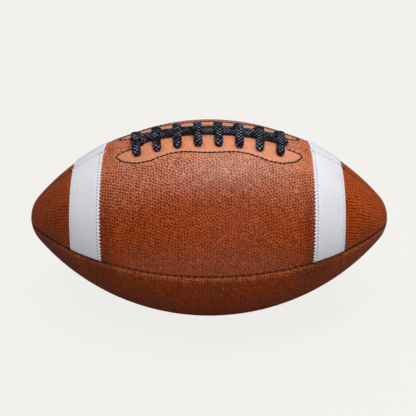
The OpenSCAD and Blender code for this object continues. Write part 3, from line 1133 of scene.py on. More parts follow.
@dataclass
class PebbleField:
    """Pebble centres spread evenly over the whole ball, in rows that are shifted by half a pitch."""

    skin: Skin
    pitch: float = mm(2.45)
    row_share: float = 0.88
    scatter: float = 0.3
    weakest: float = 0.62
    crown_share: float = 0.6
    seed: int = 7
    tree: kdtree.KDTree = field(init=False)
    strengths: Array = field(init=False)

    def __post_init__(self) -> None:
        """Lays the centres out."""
        chance = random.Random(self.seed)
        rows = round(2 * self.skin.half_meridian / (self.pitch * self.row_share))
        centres = []
        for row, alpha in enumerate(self.skin.even_alphas(rows)):
            around = max(1, round(2 * math.pi * float(self.skin.radius(alpha)) / self.pitch))
            for i in range(around):
                turn = (i + row % 2 / 2 + chance.uniform(-self.scatter, self.scatter)) / around
                slide = chance.uniform(-self.scatter, self.scatter) * self.pitch / self.skin.arc_radius
                centres.append(self.skin.point(alpha + slide, 2 * math.pi * turn, 0.0))
        self.tree = kdtree.KDTree(len(centres))
        for i, centre in enumerate(centres):
            self.tree.insert(centre, i)
        self.tree.balance()
        self.strengths = np.array([chance.uniform(self.weakest, 1) for _ in centres])

    def heights(self, points: Array) -> Array:
        """Works out how high the pebbles stand.

        Args:
            points: Rows of X, Y and Z on the true skin.

        Returns:
            Values from 0 between the pebbles to 1 on their tops.
        """
        found = [self.tree.find_n(p, 2) for p in points]
        near = np.array([[first[2], second[2]] for first, second in found])
        strength = self.strengths[[first[1] for first, _ in found]]
        lead = (near[:, 1] - near[:, 0]) / (self.pitch * self.crown_share)
        return smooth(lead) * strength


# Stitched outline of the lace facing


@dataclass
class FacingOutline:
    """The line of stitches round the lace facing, the same on both laced panels."""

    skin: Skin
    half_length: float = mm(72.4)
    width: float = mm(29.8)
    corners: tuple = (
        (0.80, 0.27), (0.85, 0.30), (0.93, 0.355), (1, 0.445), (0.92, 0.73), (0.77, 0.955),
        (0.63, 1), (0.53, 0.935), (0.40, 0.865), (0.28, 0.85), (0.12, 0.915), (0, 0.945),
    )  # fmt: skip
    low_corners: int = 4
    soften: float = mm(1.6)
    fine_pitch: float = mm(0.5)

    def half(self) -> Array:
        """Returns the corners on the right, as X and arc."""
        return np.array(self.corners) * (self.half_length, self.width)

    def line(self) -> Array:
        """Returns the outline's corners from left to right, as X and arc."""
        return np.concatenate([self.half() * (-1, 1), self.half()[-2::-1]])

    def along(self, pitch: float) -> list[Spot]:
        """Spaces stitches along the outline.

        Args:
            pitch: Distance between two stitches.

        Returns:
            The X, the arc and the slope of each stitch.
        """
        line = self.line()
        lengths = np.concatenate([[0], np.cumsum(np.hypot(*np.diff(line, axis=0).T))])
        spots = (np.arange(int(lengths[-1] / pitch)) + 0.5) * pitch
        reach = pitch / 2

        def at(s: Array) -> Array:
            """Returns the outline's X and arc at lengths along it."""
            return np.stack([np.interp(s, lengths, line[:, k]) for k in (0, 1)], axis=-1)

        way = at(spots + reach) - at(spots - reach)
        middle = (at(spots + reach) + at(spots - reach)) / 2
        return [(*m, math.atan2(w[1], w[0])) for m, w in zip(middle, way)]

    def inside(self, alpha: Array, arc: Array) -> Array:
        """Works out which places lie within the outline.

        Args:
            alpha: Slopes along the ball.
            arc: Distances from the laced seam.

        Returns:
            Values from 0 outside to 1 inside.
        """
        x = np.abs(self.skin.x(alpha))
        low_x, low_arc = self.half()[: self.low_corners].T
        high_x, high_arc = self.half()[: self.low_corners - 2 : -1].T
        upper = np.interp(x, high_x, high_arc)
        lower = np.interp(x, low_x, low_arc, left=-self.soften)
        within = smooth((upper - arc) / self.soften) * smooth((arc - lower) / self.soften)
        return within * smooth((self.half_length - x) / self.soften)

    def nearness(self, points: Array, side: Side, width: float) -> Array:
        """Works out how near places are to the line of stitches.

        Args:
            points: Rows of X, Y and Z on the true skin.
            side: The panel's side.
            width: Distance over which it falls off.

        Returns:
            Values from 0 away from the line to 1 on it.
        """
        fine = self.along(self.fine_pitch)
        tree = kdtree.KDTree(len(fine))
        for i, (x, arc, _) in enumerate(fine):
            tree.insert(self.skin.spot(x, side.value * arc, 0.0), i)
        tree.balance()
        return bell(np.array([tree.find(p)[2] for p in points]), width)


# The lace's route, which the holes follow too


@dataclass
class LaceRoute:
    """Where the lace goes: two runs along the seam, then crosses over them, hole by hole."""

    relief: Relief
    crosses: int = 8
    pitch: float = mm(15.8)
    shift: float = mm(-1)
    hole_arc: float = mm(16.7)
    slant: float = mm(0.6)
    bend: float = mm(3)
    cross_bend: float = mm(2.6)
    slope: float = math.radians(22.5)
    run_arc: float = mm(2.75)
    run_h: float = mm(0.0)
    cross_h: float = mm(3.75)
    shoulder_arc: float = mm(4.4)
    shoulder_drop: float = mm(0.4)
    inner_h: float = mm(-7.8)
    port_shift: float = mm(1)
    dive_shift: float = mm(3.75)
    dive_arc: float = mm(6.4)
    dive_run_in: float = mm(9)
    tail: float = mm(9)
    loop_reach: float = mm(2.3)
    pinch: float = mm(0.22)
    hole_run_in: float = mm(1.2)
    crown_drop: float = mm(0.1)
    run_in: float = mm(5.3)
    dive_depth: float = mm(2.3)
    long_strand: float = mm(12)
    inner_shares: tuple[float, ...] = (0.25, 0.5, 0.75)
    port_shares: tuple = ((0, 0, -1), (0.3, 0.1, -0.3), (1, 0.5, 0.05))
    dive_shares: tuple = ((0.55, 0.2, 0.15), (0.29, 0.55, 0.25), (0.07, 0.92, -0.4), (0, 1, -1.4))
    loop_angles: range = range(-75, 76, 15)
    bend_steps: int = 6
    run_steps: int = 56

    @property
    def skin(self) -> Skin:
        """The ball's skin."""
        return self.relief.skin

    @property
    def half_length(self) -> float:
        """Distance from the middle of the ball to the last cross."""
        return (self.crosses - 1) / 2 * self.pitch

    @property
    def port_x(self) -> float:
        """Where the back run goes down between the panels."""
        return self.shift - self.half_length - self.port_shift

    @property
    def dive_x(self) -> float:
        """Where the front run goes down beside the seam."""
        return self.port_x + self.dive_shift

    def cross_x(self, index: int) -> float:
        """Returns the middle of a cross."""
        return self.shift + (index - (self.crosses - 1) / 2) * self.pitch

    def hole(self, index: int, side: Side) -> Pair:
        """Returns the X and the arc of a cross's hole, which is negative on the back."""
        return self.cross_x(index) + side.value * self.slant, side.value * self.hole_arc

    def half_cross(self) -> list[Pair]:
        """Returns half of a cross, as arc and height, from its hole to its top."""
        bend = self.cross_bend
        end_arc = self.hole_arc - bend * (1 - math.sin(self.slope))
        shoulder_h = self.cross_h - self.shoulder_drop
        end_h = shoulder_h - (end_arc - self.shoulder_arc) * math.tan(self.slope)
        start_h = end_h - bend * math.cos(self.slope)
        turns = [(math.pi / 2 - self.slope) * i / self.bend_steps for i in range(1, self.bend_steps + 1)]
        return [
            (self.hole_arc, start_h - self.hole_run_in),
            (self.hole_arc, start_h),
            *[(self.hole_arc - bend * (1 - math.cos(a)), start_h + bend * math.sin(a)) for a in turns],
            ((end_arc + self.shoulder_arc) / 2, (end_h + shoulder_h) / 2),
            (self.shoulder_arc, shoulder_h),
            (self.run_arc, self.cross_h),
            (0.0, self.cross_h - self.crown_drop),
        ]

    def cross_route(self, index: int) -> list[Spot]:
        """Works out a whole cross from front to back.

        Args:
            index: The cross's number from the left.

        Returns:
            Its points, as X, arc and height.
        """
        half = self.half_cross()

        def spot(p: Pair, side: Side) -> Spot:
            """Returns one point of the cross, as X, arc and height."""
            lean = side.value * self.slant * p[0] / self.hole_arc
            return self.cross_x(index) + lean, side.value * p[0], p[1]

        return [spot(p, Side.FRONT) for p in half] + [spot(p, Side.BACK) for p in half[-2::-1]]

    def bends(self) -> list[Pair]:
        """Returns the turn under a hole, as distances from the hole and heights."""
        turns = [math.pi / 2 * i / self.bend_steps for i in range(self.bend_steps + 1)]
        return [(self.bend * (1 - math.cos(a)), self.inner_h + self.bend * (1 - math.sin(a))) for a in turns]

    def inner_route(self, start: Pair, stop: Pair) -> list[Spot]:
        """Works out the strand under the facing, down one hole and up another.

        Args:
            start: The X and the arc of the first hole.
            stop: The X and the arc of the other.

        Returns:
            Its points, as X, arc and height.
        """
        way = Vector(stop) - Vector(start)
        length, way = way.length, way.normalized()
        bends = self.bends()
        down = [(start[0] + way.x * d, start[1] + way.y * d, h) for d, h in bends]
        up = [(stop[0] - way.x * d, stop[1] - way.y * d, h) for d, h in bends[::-1]]
        straight = length - 2 * self.bend
        shares = self.inner_shares if straight > self.long_strand else ()
        gone = [self.bend + straight * share for share in shares]
        between = [(start[0] + way.x * d, start[1] + way.y * d, self.inner_h) for d in gone]
        return self.sunk(down + between + up)

    def sunk(self, points: Sequence[Spot]) -> list[Spot]:
        """Lowers hidden points by the dent of the layers over them.

        Args:
            points: Points, as X, arc and height.

        Returns:
            The lowered points.
        """
        lowered = []
        for x, arc, height in points:
            dent = self.relief.dent(self.skin.alpha_at(x), np.array(arc))
            lowered.append((x, arc, height - float(dent)))
        return lowered

    def tail_route(self, start: Pair, stop_x: float) -> list[Spot]:
        """Works out a free end, down its hole and along under the facing.

        Args:
            start: The X and the arc of the hole.
            stop_x: The X where it ends.

        Returns:
            Its points, as X, arc and height.
        """
        side = math.copysign(1, stop_x - start[0])
        bends = [(start[0] + side * d, start[1], h) for d, h in self.bends()]
        middle = ((start[0] + side * self.bend + stop_x) / 2, start[1], self.inner_h)
        return self.sunk([*bends, middle, (stop_x, start[1], self.inner_h)])

    def run_height(self, x: float) -> float:
        """Returns the height of a run, which each cross presses down a little."""
        return self.run_h - self.pinch * math.cos(2 * math.pi * (x - self.cross_x(0)) / self.pitch)

    def route(self) -> list[tuple[float, float, float, Strand]]:
        """Returns the whole route, as X, arc, height and what the strand does there."""
        port, dive = self.port_x, self.dive_x
        loop_x = self.shift + self.half_length + self.loop_reach
        tail_x = port - self.tail
        run, low = self.run_arc, self.run_h
        out: list[tuple[float, float, float, Strand]] = []

        def add(points: Iterable[Spot], kind: Strand) -> None:
            """Adds a stretch to the route."""
            out.extend((*p, kind) for p in points)

        def along(start: float, stop: float, arc: float) -> list[Spot]:
            """Returns a run at an arc, from one X to another."""
            xs = [start + (stop - start) * i / self.run_steps for i in range(self.run_steps + 1)]
            return [(x, arc, self.run_height(x)) for x in xs]

        add(self.tail_route((port, 0.0), tail_x)[::-1], Strand.HIDDEN)
        rising = [(port + self.bend * s[0], -run * s[1], low + self.bend * s[2]) for s in self.port_shares]
        add(rising, Strand.HIDDEN)
        add(along(port + self.run_in, loop_x, -run), Strand.RUN)
        turns = [math.radians(a) for a in self.loop_angles]
        top = self.run_height(loop_x)
        add([(loop_x + run * math.cos(a), run * math.sin(a), top) for a in turns], Strand.RUN)
        add(along(loop_x, dive + self.dive_run_in, run), Strand.RUN)
        aside = self.dive_arc - run
        sinking = [
            (dive + self.dive_run_in * s[0], run + aside * s[1], low + self.dive_depth * s[2])
            for s in self.dive_shares
        ]
        add(sinking, Strand.RUN)
        add(self.inner_route((dive, self.dive_arc), self.hole(0, Side.FRONT)), Strand.HIDDEN)
        for i in range(self.crosses):
            add(self.cross_route(i), Strand.CROSS)
            if i < self.crosses - 1:
                add(self.inner_route(self.hole(i, Side.BACK), self.hole(i + 1, Side.FRONT)), Strand.HIDDEN)
        add(self.tail_route(self.hole(self.crosses - 1, Side.BACK), 2 * self.shift - tail_x), Strand.HIDDEN)
        return out

    def holes(self, side: Side) -> list[Pair]:
        """Returns the X and the arc of all holes on one side, with those beside the seam."""
        found = [self.hole(i, side) for i in range(self.crosses)] + [(self.port_x, 0.0)]
        return found + ([(self.dive_x, self.dive_arc)] if side is Side.FRONT else [])

    def hole_frames(self, side: Side) -> list[Matrix]:
        """Works out the frames of the holes on one side.

        Args:
            side: The side.

        Returns:
            Frames on the true skin.
        """
        frames = []
        for x, arc in self.holes(side):
            alpha = float(self.skin.alpha_at(x))
            frames.append(self.skin.frame(alpha, float(self.skin.theta_at(alpha, arc)), 0.0))
        return frames


# Panels


@dataclass(frozen=True)
class EndsAndShade:
    """How much darker the leather is painted: darker at the ends, with painted shade underneath and low
    beside the stripes.
    """

    # Darker towards the ends, the left one most.
    left: Pair = (mm(96), mm(24))
    right: Pair = (mm(112), mm(30))
    # Painted shade underneath the ball, and low beside the stripes' inner edges.
    under: Pair = (math.radians(88), 0.6)
    beside: Pair = (math.radians(25), 0.7)
    beside_shift: float = mm(-1.5)
    beside_from: float = mm(78)
    beside_to: float = mm(96)
    beside_width: float = mm(6)
    shares: tuple[float, float, float, float] = (0.34, 0.08, 0.36, 0.36)
    most: float = 0.6

    def at(self, x: Array, turn: Array) -> Array:
        """Works out the darkening: at the ends, with painted shade underneath and beside the stripes.

        Args:
            x: Places along X.
            turn: Turns from the laced seam, without their sign.

        Returns:
            Shares of the dark colour, partly painted shade.
        """
        under = rise(turn, *self.under)
        short = np.maximum(self.beside_from - np.abs(x - self.beside_shift), 0)
        beside = bell(short, self.beside_width) * (np.abs(x) < self.beside_to)
        beside *= rise(turn, *self.beside) * (1 - under)
        parts = (rise(-x, *self.left), rise(x, *self.right), under, beside)
        return np.clip(sum(share * part for share, part in zip(self.shares, parts)), 0, self.most)


@dataclass
class Panel:
    """One of the four leather panels, pebbled, with rolled edges and the holes that go through it."""

    name: str
    relief: Relief
    pebbles: PebbleField
    start: float
    turn: float
    side: Side
    lacing: LaceRoute | None = None
    outline: FacingOutline | None = None
    valve: Matrix | None = None
    thickness: float = mm(2.2)
    pebble_depth: float = mm(0.24)
    plain_edge: float = mm(3.4)
    # Paler leather towards the lacing, which also paints part of the highlight on the top of the ball.
    pale_run: Pair = (mm(32), mm(48))
    pale_ends: Pair = (mm(55), mm(50))
    low_shine: float = 0.12
    fold_shine: float = 0.75
    shine_arc: float = mm(118)
    shine_width: float = mm(18)
    shine_ends: Pair = (mm(60), mm(30))
    top_shine: float = 0.85
    top_run: Pair = (mm(3), mm(9))
    # Painted highlight on the lower panel's rolled edge, just under the side seam.
    fold_highlight: float = 0.5
    fold_arc: float = mm(3.2)
    fold_width: float = mm(1.8)
    # Inside the facing's outline the leather is paler, partly its own colour and partly painted highlight.
    facing_pale: float = 0.85
    worn_arc: float = mm(27)
    worn_width: float = mm(6)
    low_run: Pair = (mm(60), mm(30))
    band_shift: float = mm(-1.5)
    band_edges: Pair = (mm(79.5), mm(106.5))
    band_falls: Pair = (mm(2.2), mm(1.5))
    band_press: float = 0.15
    worn_press: float = 0.35
    low_press: float = 0.15
    facing_press: float = 0.7
    channel_press: float = 0.8
    rim_press: float = 0.7
    # Painted shade in the seam grooves: its width, its strength in the middle, and where it grows towards
    # the tips.
    seam_shade_width: float = mm(1.3)
    seam_middle: float = 0.45
    seam_ends: Pair = (mm(70), mm(20))
    # Darker ends, and painted shade underneath and low beside the stripes.
    tone: EndsAndShade = EndsAndShade()
    stations: int = 480
    edge_turn: float = math.radians(2.4)
    middle_steps: int = 13
    divide: int = 12
    inner_steps: int = 12
    hole_radius: float = mm(2.6)
    valve_radius: float = mm(4.3)
    drill: float = mm(12)
    dimple_arc: float = mm(10)
    dimple_depth: float = mm(1.3)
    dimple_width: float = mm(2.4)
    channel_depth: float = mm(0.3)
    channel_width: float = mm(0.9)

    def build(self) -> Mesh:
        """Builds the panel.

        Returns:
            Its mesh, with attributes for the pebbles, the paler colour that is partly painted highlight, the
            darker ends with painted shade, the painted shade of the seams, and the shine.
        """
        skin = self.relief.skin
        sign = math.copysign(1, self.turn)
        stages = (
            (sign * self.edge_turn, 1),
            (self.turn - 2 * sign * self.edge_turn, self.middle_steps),
            (sign * self.edge_turn, 1),
        )
        alphas, inner = skin.even_alphas(self.stations), [(self.turn, self.inner_steps)]
        bm = shell(skin, alphas, self.start, stages, 0.0, self.thickness, self.divide, inner)
        mesh = to_mesh(bm, self.name)
        if self.lacing:
            mesh = drilled(mesh, self.lacing.hole_frames(self.side), self.hole_radius, self.drill)
        if self.valve:
            mesh = drilled(mesh, [self.valve], self.valve_radius, self.drill)
        self.shape(mesh)
        return mesh

    def shape(self, mesh: Mesh) -> None:
        """Moves the vertices from the true skin to the leather's own relief.

        Args:
            mesh: The panel's mesh, which gets its attributes too.
        """
        skin = self.relief.skin
        alpha, theta, height = skin.place(coordinates(mesh))
        x, flat = skin.x(alpha), skin.point(alpha, theta, 0.0)
        outer = smooth(1 + height / self.thickness)
        width = skin.radius(alpha) * abs(self.turn)
        gone = np.mod((theta - self.start) * math.copysign(1, self.turn) + math.pi, 2 * math.pi) - math.pi
        arc = np.clip(gone * skin.radius(alpha), 0, width)
        edge = np.minimum(arc, width - arc)
        pebble = self.pebbles.heights(flat)
        plain = smooth(edge / self.plain_edge)
        # Painted highlight along the rolled edge under the side seam.
        pale = self.fold_highlight * bell(arc - self.fold_arc, self.fold_width)
        shine = np.zeros_like(arc)
        dip = self.relief.groove(edge, width) * outer
        if self.lacing and self.outline:
            # Paler towards the lacing, partly a painted highlight on the top.
            pale = 1 - rise(arc, *self.pale_run)
            plain *= 1 - self.band_press * self.beside_bands(x)
            plain *= 1 - self.worn_press * bell(np.maximum(arc - self.worn_arc, 0), self.worn_width) * pale
            plain *= 1 - self.low_press * rise(arc, *self.low_run)
            pale *= 1 - rise(np.abs(x), *self.pale_ends)
            low = bell(np.maximum(self.shine_arc - arc, 0), self.shine_width)
            shine = self.low_shine + self.fold_shine * low * (1 - rise(np.abs(x), *self.shine_ends))
            inside = self.outline.inside(alpha, arc)
            sheen = self.top_shine + (1 - self.top_shine) * inside
            shine = np.maximum(shine, sheen * pale * rise(arc, *self.top_run))
            plain *= 1 - self.facing_press * inside
            # Paler inside the facing's outline, partly painted highlight.
            pale = np.maximum(pale, self.facing_pale * inside)
            stitched = self.outline.nearness(flat, self.side, self.channel_width)
            dip += self.relief.laced_depth(alpha, self.side.value * arc)
            dip += stitched * self.channel_depth * outer
            plain *= 1 - self.channel_press * stitched
            for hole_x, hole_arc in self.lacing.holes(self.side):
                off = np.linalg.norm(flat - skin.spot(hole_x, hole_arc, 0.0), axis=1)
                rim = bell(np.maximum(off - self.hole_radius, 0), self.dimple_width)
                if abs(hole_arc) > self.dimple_arc:
                    dip += rim * self.dimple_depth * outer
                plain *= 1 - self.rim_press * rim
        dip += self.pebble_depth * (1 - pebble) * plain * outer
        set_coordinates(mesh, skin.point(alpha, theta, height - dip))
        # Painted shade in the seam grooves, stronger towards the tips.
        ends = self.seam_middle + (1 - self.seam_middle) * rise(np.abs(x), *self.seam_ends)
        attributes = {
            "pebble": pebble * plain,
            "pale": pale,
            # Darker ends, and painted shade underneath and beside the stripes.
            "tone": self.tone.at(x, np.abs(theta)),
            "seam": bell(edge, self.seam_shade_width) * ends,
            "shine": shine,
        }
        for name, values in attributes.items():
            set_attribute(mesh, name, values)

    def beside_bands(self, x: Array) -> Array:
        """Works out where the pebbles are pressed flatter beside the stripes.

        Args:
            x: Places along X.

        Returns:
            Values from 0 away from a stripe to 1 at its edges.
        """
        off = np.abs(x - self.band_shift)
        inner, outer = self.band_edges[0] - off, off - self.band_edges[1]
        near = bell(np.maximum(inner, 0), self.band_falls[0]) * (outer < 0)
        return near + bell(np.maximum(outer, 0), self.band_falls[1]) * (inner < 0)


@dataclass
class Stripe:
    """A white leather band on a laced panel, with a pinked inner edge and two rows of stitches."""

    name: str
    relief: Relief
    pebbles: PebbleField
    side: Side
    end: End
    inner_x: float = mm(80.3)
    shift: float = mm(-1.5)
    width: float = mm(25.5)
    lift: float = mm(0.1)
    thickness: float = mm(0.8)
    tooth_pitch: float = mm(2.7)
    tooth_depth: float = mm(1.5)
    steps_per_tooth: int = 6
    stations: int = 56
    pebble_depth: float = mm(0.06)
    inner_row: float = mm(3.1)
    outer_row: float = mm(2.3)
    row_width: float = mm(0.7)
    row_depth: float = mm(0.22)
    row_spare: float = mm(3)
    tooth_fade: float = mm(3)
    brim_width: float = mm(0.9)
    brim_depth: float = mm(0.35)
    groove_share: float = 0.9
    # Width of the painted shade in the seam grooves.
    seam_shade_width: float = mm(2)
    stitch_pitch: float = mm(2.5)

    @property
    def inner(self) -> float:
        """Slope of the inner edge."""
        return float(self.relief.skin.alpha_at(self.shift + self.end.value * self.inner_x))

    @property
    def outer(self) -> float:
        """Slope of the outer edge."""
        x = self.shift + self.end.value * (self.inner_x + self.width)
        return float(self.relief.skin.alpha_at(x))

    @property
    def length(self) -> float:
        """Width of the stripe, measured on the skin."""
        return abs(self.outer - self.inner) * self.relief.skin.arc_radius

    @property
    def teeth(self) -> int:
        """Number of teeth of the pinked edge."""
        skin = self.relief.skin
        return round(float(skin.radius(self.inner)) * skin.side_seam / self.tooth_pitch)

    def covers(self, x: float, spare: float) -> bool:
        """Tells whether a place along X lies under the stripe, or nearer to it than the spare."""
        along = self.end.value * (x - self.shift)
        return self.inner_x - spare < along < self.inner_x + self.width + spare

    def build(self) -> Mesh:
        """Builds the stripe.

        Returns:
            Its mesh, with its pattern and its pebble and seam attributes.
        """
        skin = self.relief.skin
        alphas = np.linspace(self.inner, self.outer, self.stations + 1)
        turn = self.side.value * skin.side_seam
        top = self.lift + self.thickness
        stages = [(turn, self.teeth)]
        bm = shell(skin, alphas, 0.0, stages, top, self.thickness, self.steps_per_tooth)
        mesh = to_mesh(bm, self.name)
        alpha, theta, height = skin.place(coordinates(mesh))
        flat = skin.point(alpha, theta, 0.0)
        radius = skin.radius(alpha)
        width = radius * skin.side_seam
        arc = np.clip(np.abs(theta) * radius, 0, width)
        edge = np.minimum(arc, width - arc)
        into = np.abs(alpha - self.inner) * skin.arc_radius
        saw = np.abs(np.mod(np.abs(theta) / skin.side_seam * self.teeth, 1) * 2 - 1)
        bite = self.tooth_depth * saw * np.clip(1 - into / self.tooth_fade, 0, 1)
        pebble = self.pebbles.heights(flat)
        top = smooth((height - self.lift) / self.thickness)
        brim = np.minimum(into, self.length - into)
        spots = (into - self.inner_row, self.length - into - self.outer_row)
        rows = sum(bell(spot, self.row_width) for spot in spots)
        dip = self.relief.groove(edge, width) * self.groove_share
        dip = dip + top * (self.pebble_depth * (1 - pebble) + self.row_depth * rows)
        dip = dip + top * self.brim_depth * (1 - smooth(brim / self.brim_width))
        moved = skin.alpha_of_meridian(skin.meridian(alpha) + self.end.value * bite)
        set_coordinates(mesh, skin.point(moved, theta, height - dip))
        set_attribute(mesh, "pebble", pebble)
        # Painted shade near the seam grooves.
        set_attribute(mesh, "seam", bell(edge, self.seam_shade_width))
        set_uv(mesh, into, arc)
        return mesh

    def stitch_rows(self) -> list[tuple[float, int]]:
        """Returns the alpha of each row of stitches, and how many stitches it has."""
        skin = self.relief.skin
        rows = []
        for into in (self.inner_row, self.length - self.outer_row):
            alpha = self.inner + self.end.value * into / skin.arc_radius
            width = float(skin.radius(alpha)) * skin.side_seam
            rows.append((alpha, int((width - self.row_spare) / self.stitch_pitch)))
        return rows


# Stitches


@dataclass
class Stitches:
    """Visible stitches, each a short round bar whose ends dip into what it sews."""

    radius: float
    length: float
    dip: float
    around: int = 8
    rings: int = 6

    def __post_init__(self) -> None:
        """Starts an empty mesh."""
        self.bm = bmesh.new()

    def bar(self, length: float) -> Mesh:
        """Makes one stitch that lies along X.

        Args:
            length: The stitch's length.

        Returns:
            Its mesh.
        """
        half = length / 2 - self.radius
        bm = bmesh.new()
        turned = Matrix.Rotation(math.pi / 2, 4, "Y")
        bmesh.ops.create_uvsphere(
            bm, u_segments=self.around, v_segments=self.rings, radius=self.radius, matrix=turned
        )
        for vert in bm.verts:
            vert.co.x += math.copysign(half, vert.co.x) if abs(vert.co.x) > MERGE_DISTANCE else 0.0
            vert.co.z -= self.dip * (vert.co.x / half) ** 2
        return to_mesh(bm, "bar")

    def add(self, place: Matrix, slant: float, length: float | None = None) -> None:
        """Adds a stitch.

        Args:
            place: Its frame, with X along it and Z up.
            slant: Its turn in the surface.
            length: Its length, where it differs.
        """
        bar = self.bar(length or self.length)
        bar.transform(place @ Matrix.Rotation(slant, 4, "Z"))
        self.bm.from_mesh(bar)
        bpy.data.meshes.remove(bar)

    def mesh(self) -> Mesh:
        """Returns the finished mesh."""
        return to_mesh(self.bm, "stitches")


@dataclass
class Sewing:
    """All the visible thread: along the seams, round the facing and on the stripes."""

    relief: Relief
    outline: FacingOutline
    stripes: Sequence[Stripe]
    seam_pitch: float = mm(5.2)
    seam_slant: float = math.radians(35)
    seam_end_x: float = mm(132.28)
    opening_x: float = mm(71.3)
    facing_pitch: float = mm(3.6)
    seam_stitch: Spot = (mm(0.66), mm(2.7), mm(0.55))
    facing_stitch: Spot = (mm(0.72), mm(4.3), mm(0.4))
    stripe_stitch: Spot = (mm(0.3), mm(2.1), mm(0.28))
    seam_sink: float = mm(-0.8)
    stripe_spare: float = mm(1)
    tie_gap: float = mm(3.4)
    tie_arc: float = mm(1.7)
    tie_sink: float = mm(-0.25)
    tie_slant: float = math.radians(52)
    tie_length: float = mm(4.4)
    facing_lift: float = mm(0.1)
    facing_slant: float = math.radians(6)
    stripe_sink: float = mm(0.02)

    def __post_init__(self) -> None:
        """Starts the pale stitches, which hold the laced seam where the stripes meet on it."""
        self.pale = Stitches(*self.seam_stitch)

    def seam(self, theta: float, x_from: float, x_to: float, striped: bool) -> Mesh:
        """Sews one seam.

        Args:
            theta: Where the seam is.
            x_from: Its first end.
            x_to: Its other end.
            striped: Whether stripes run up to the seam, which lift its stitches.

        Returns:
            The stitches.
        """
        skin = self.relief.skin
        stitches = Stitches(*self.seam_stitch)
        alpha_from, alpha_to = self.alpha(x_from), self.alpha(x_to)
        step = self.seam_pitch / skin.arc_radius
        count = math.floor((alpha_to - alpha_from) / step)
        first = (alpha_from + alpha_to - count * step) / 2
        laced = abs(theta) < MERGE_DISTANCE
        for i in range(count + 1):
            alpha = first + i * step
            x = float(skin.x(alpha))
            over = striped and any(stripe.covers(x, self.stripe_spare) for stripe in self.stripes)
            sink = 0.0 if over else self.seam_sink
            if laced:
                sink -= float(self.relief.dent(alpha, 0.0))
            chosen = self.pale if over and laced else stitches
            chosen.add(skin.frame(alpha, theta, sink), self.seam_slant)
        if laced:
            self.add_ties(stitches, End(int(math.copysign(1, x_from))))
        return stitches.mesh()

    def add_ties(self, stitches: Stitches, end: End) -> None:
        """Adds the two stitches that tie the seam off beside a stripe, in the shape of a V.

        Args:
            stitches: The seam's stitches.
            end: The end of the ball.
        """
        skin = self.relief.skin
        stripe = next(stripe for stripe in self.stripes if stripe.end is end)
        alpha = stripe.outer + end.value * self.tie_gap / skin.arc_radius
        for side in Side:
            theta = side.value * self.tie_arc / float(skin.radius(alpha))
            place = skin.frame(alpha, theta, self.tie_sink)
            stitches.add(place, -side.value * end.value * self.tie_slant, self.tie_length)

    def alpha(self, x: float) -> float:
        """Works out the slope at a place along X, rounded points included.

        Args:
            x: The place.

        Returns:
            The slope there.
        """
        skin = self.relief.skin
        if abs(x) <= float(skin.x(skin.nose_alpha)):
            return float(skin.alpha_at(x))
        return math.copysign(math.asin((abs(x) - skin.nose_x) / skin.nose_radius), x)

    def facing(self, side: Side) -> Mesh:
        """Sews the outline of the facing.

        Args:
            side: The side of the ball.

        Returns:
            The stitches.
        """
        skin = self.relief.skin
        stitches = Stitches(*self.facing_stitch)
        for x, arc, slope in self.outline.along(self.facing_pitch):
            alpha = float(skin.alpha_at(x))
            height = self.facing_lift - float(self.relief.laced_depth(alpha, side.value * arc))
            place = skin.frame(alpha, side.value * float(skin.theta_at(alpha, arc)), height)
            stitches.add(place, -side.value * (slope - self.facing_slant))
        return stitches.mesh()

    def stripe(self, stripe: Stripe) -> Mesh:
        """Sews the two rows of one stripe.

        Args:
            stripe: The stripe.

        Returns:
            The stitches.
        """
        skin = self.relief.skin
        stitches = Stitches(*self.stripe_stitch)
        height = stripe.lift + stripe.thickness - self.stripe_sink
        for alpha, count in stripe.stitch_rows():
            radius = float(skin.radius(alpha))
            for i in range(1, count + 1):
                theta = stripe.side.value * i * stripe.stitch_pitch / radius
                stitches.add(skin.frame(alpha, theta, height), math.pi / 2)
        return stitches.mesh()


# Lace


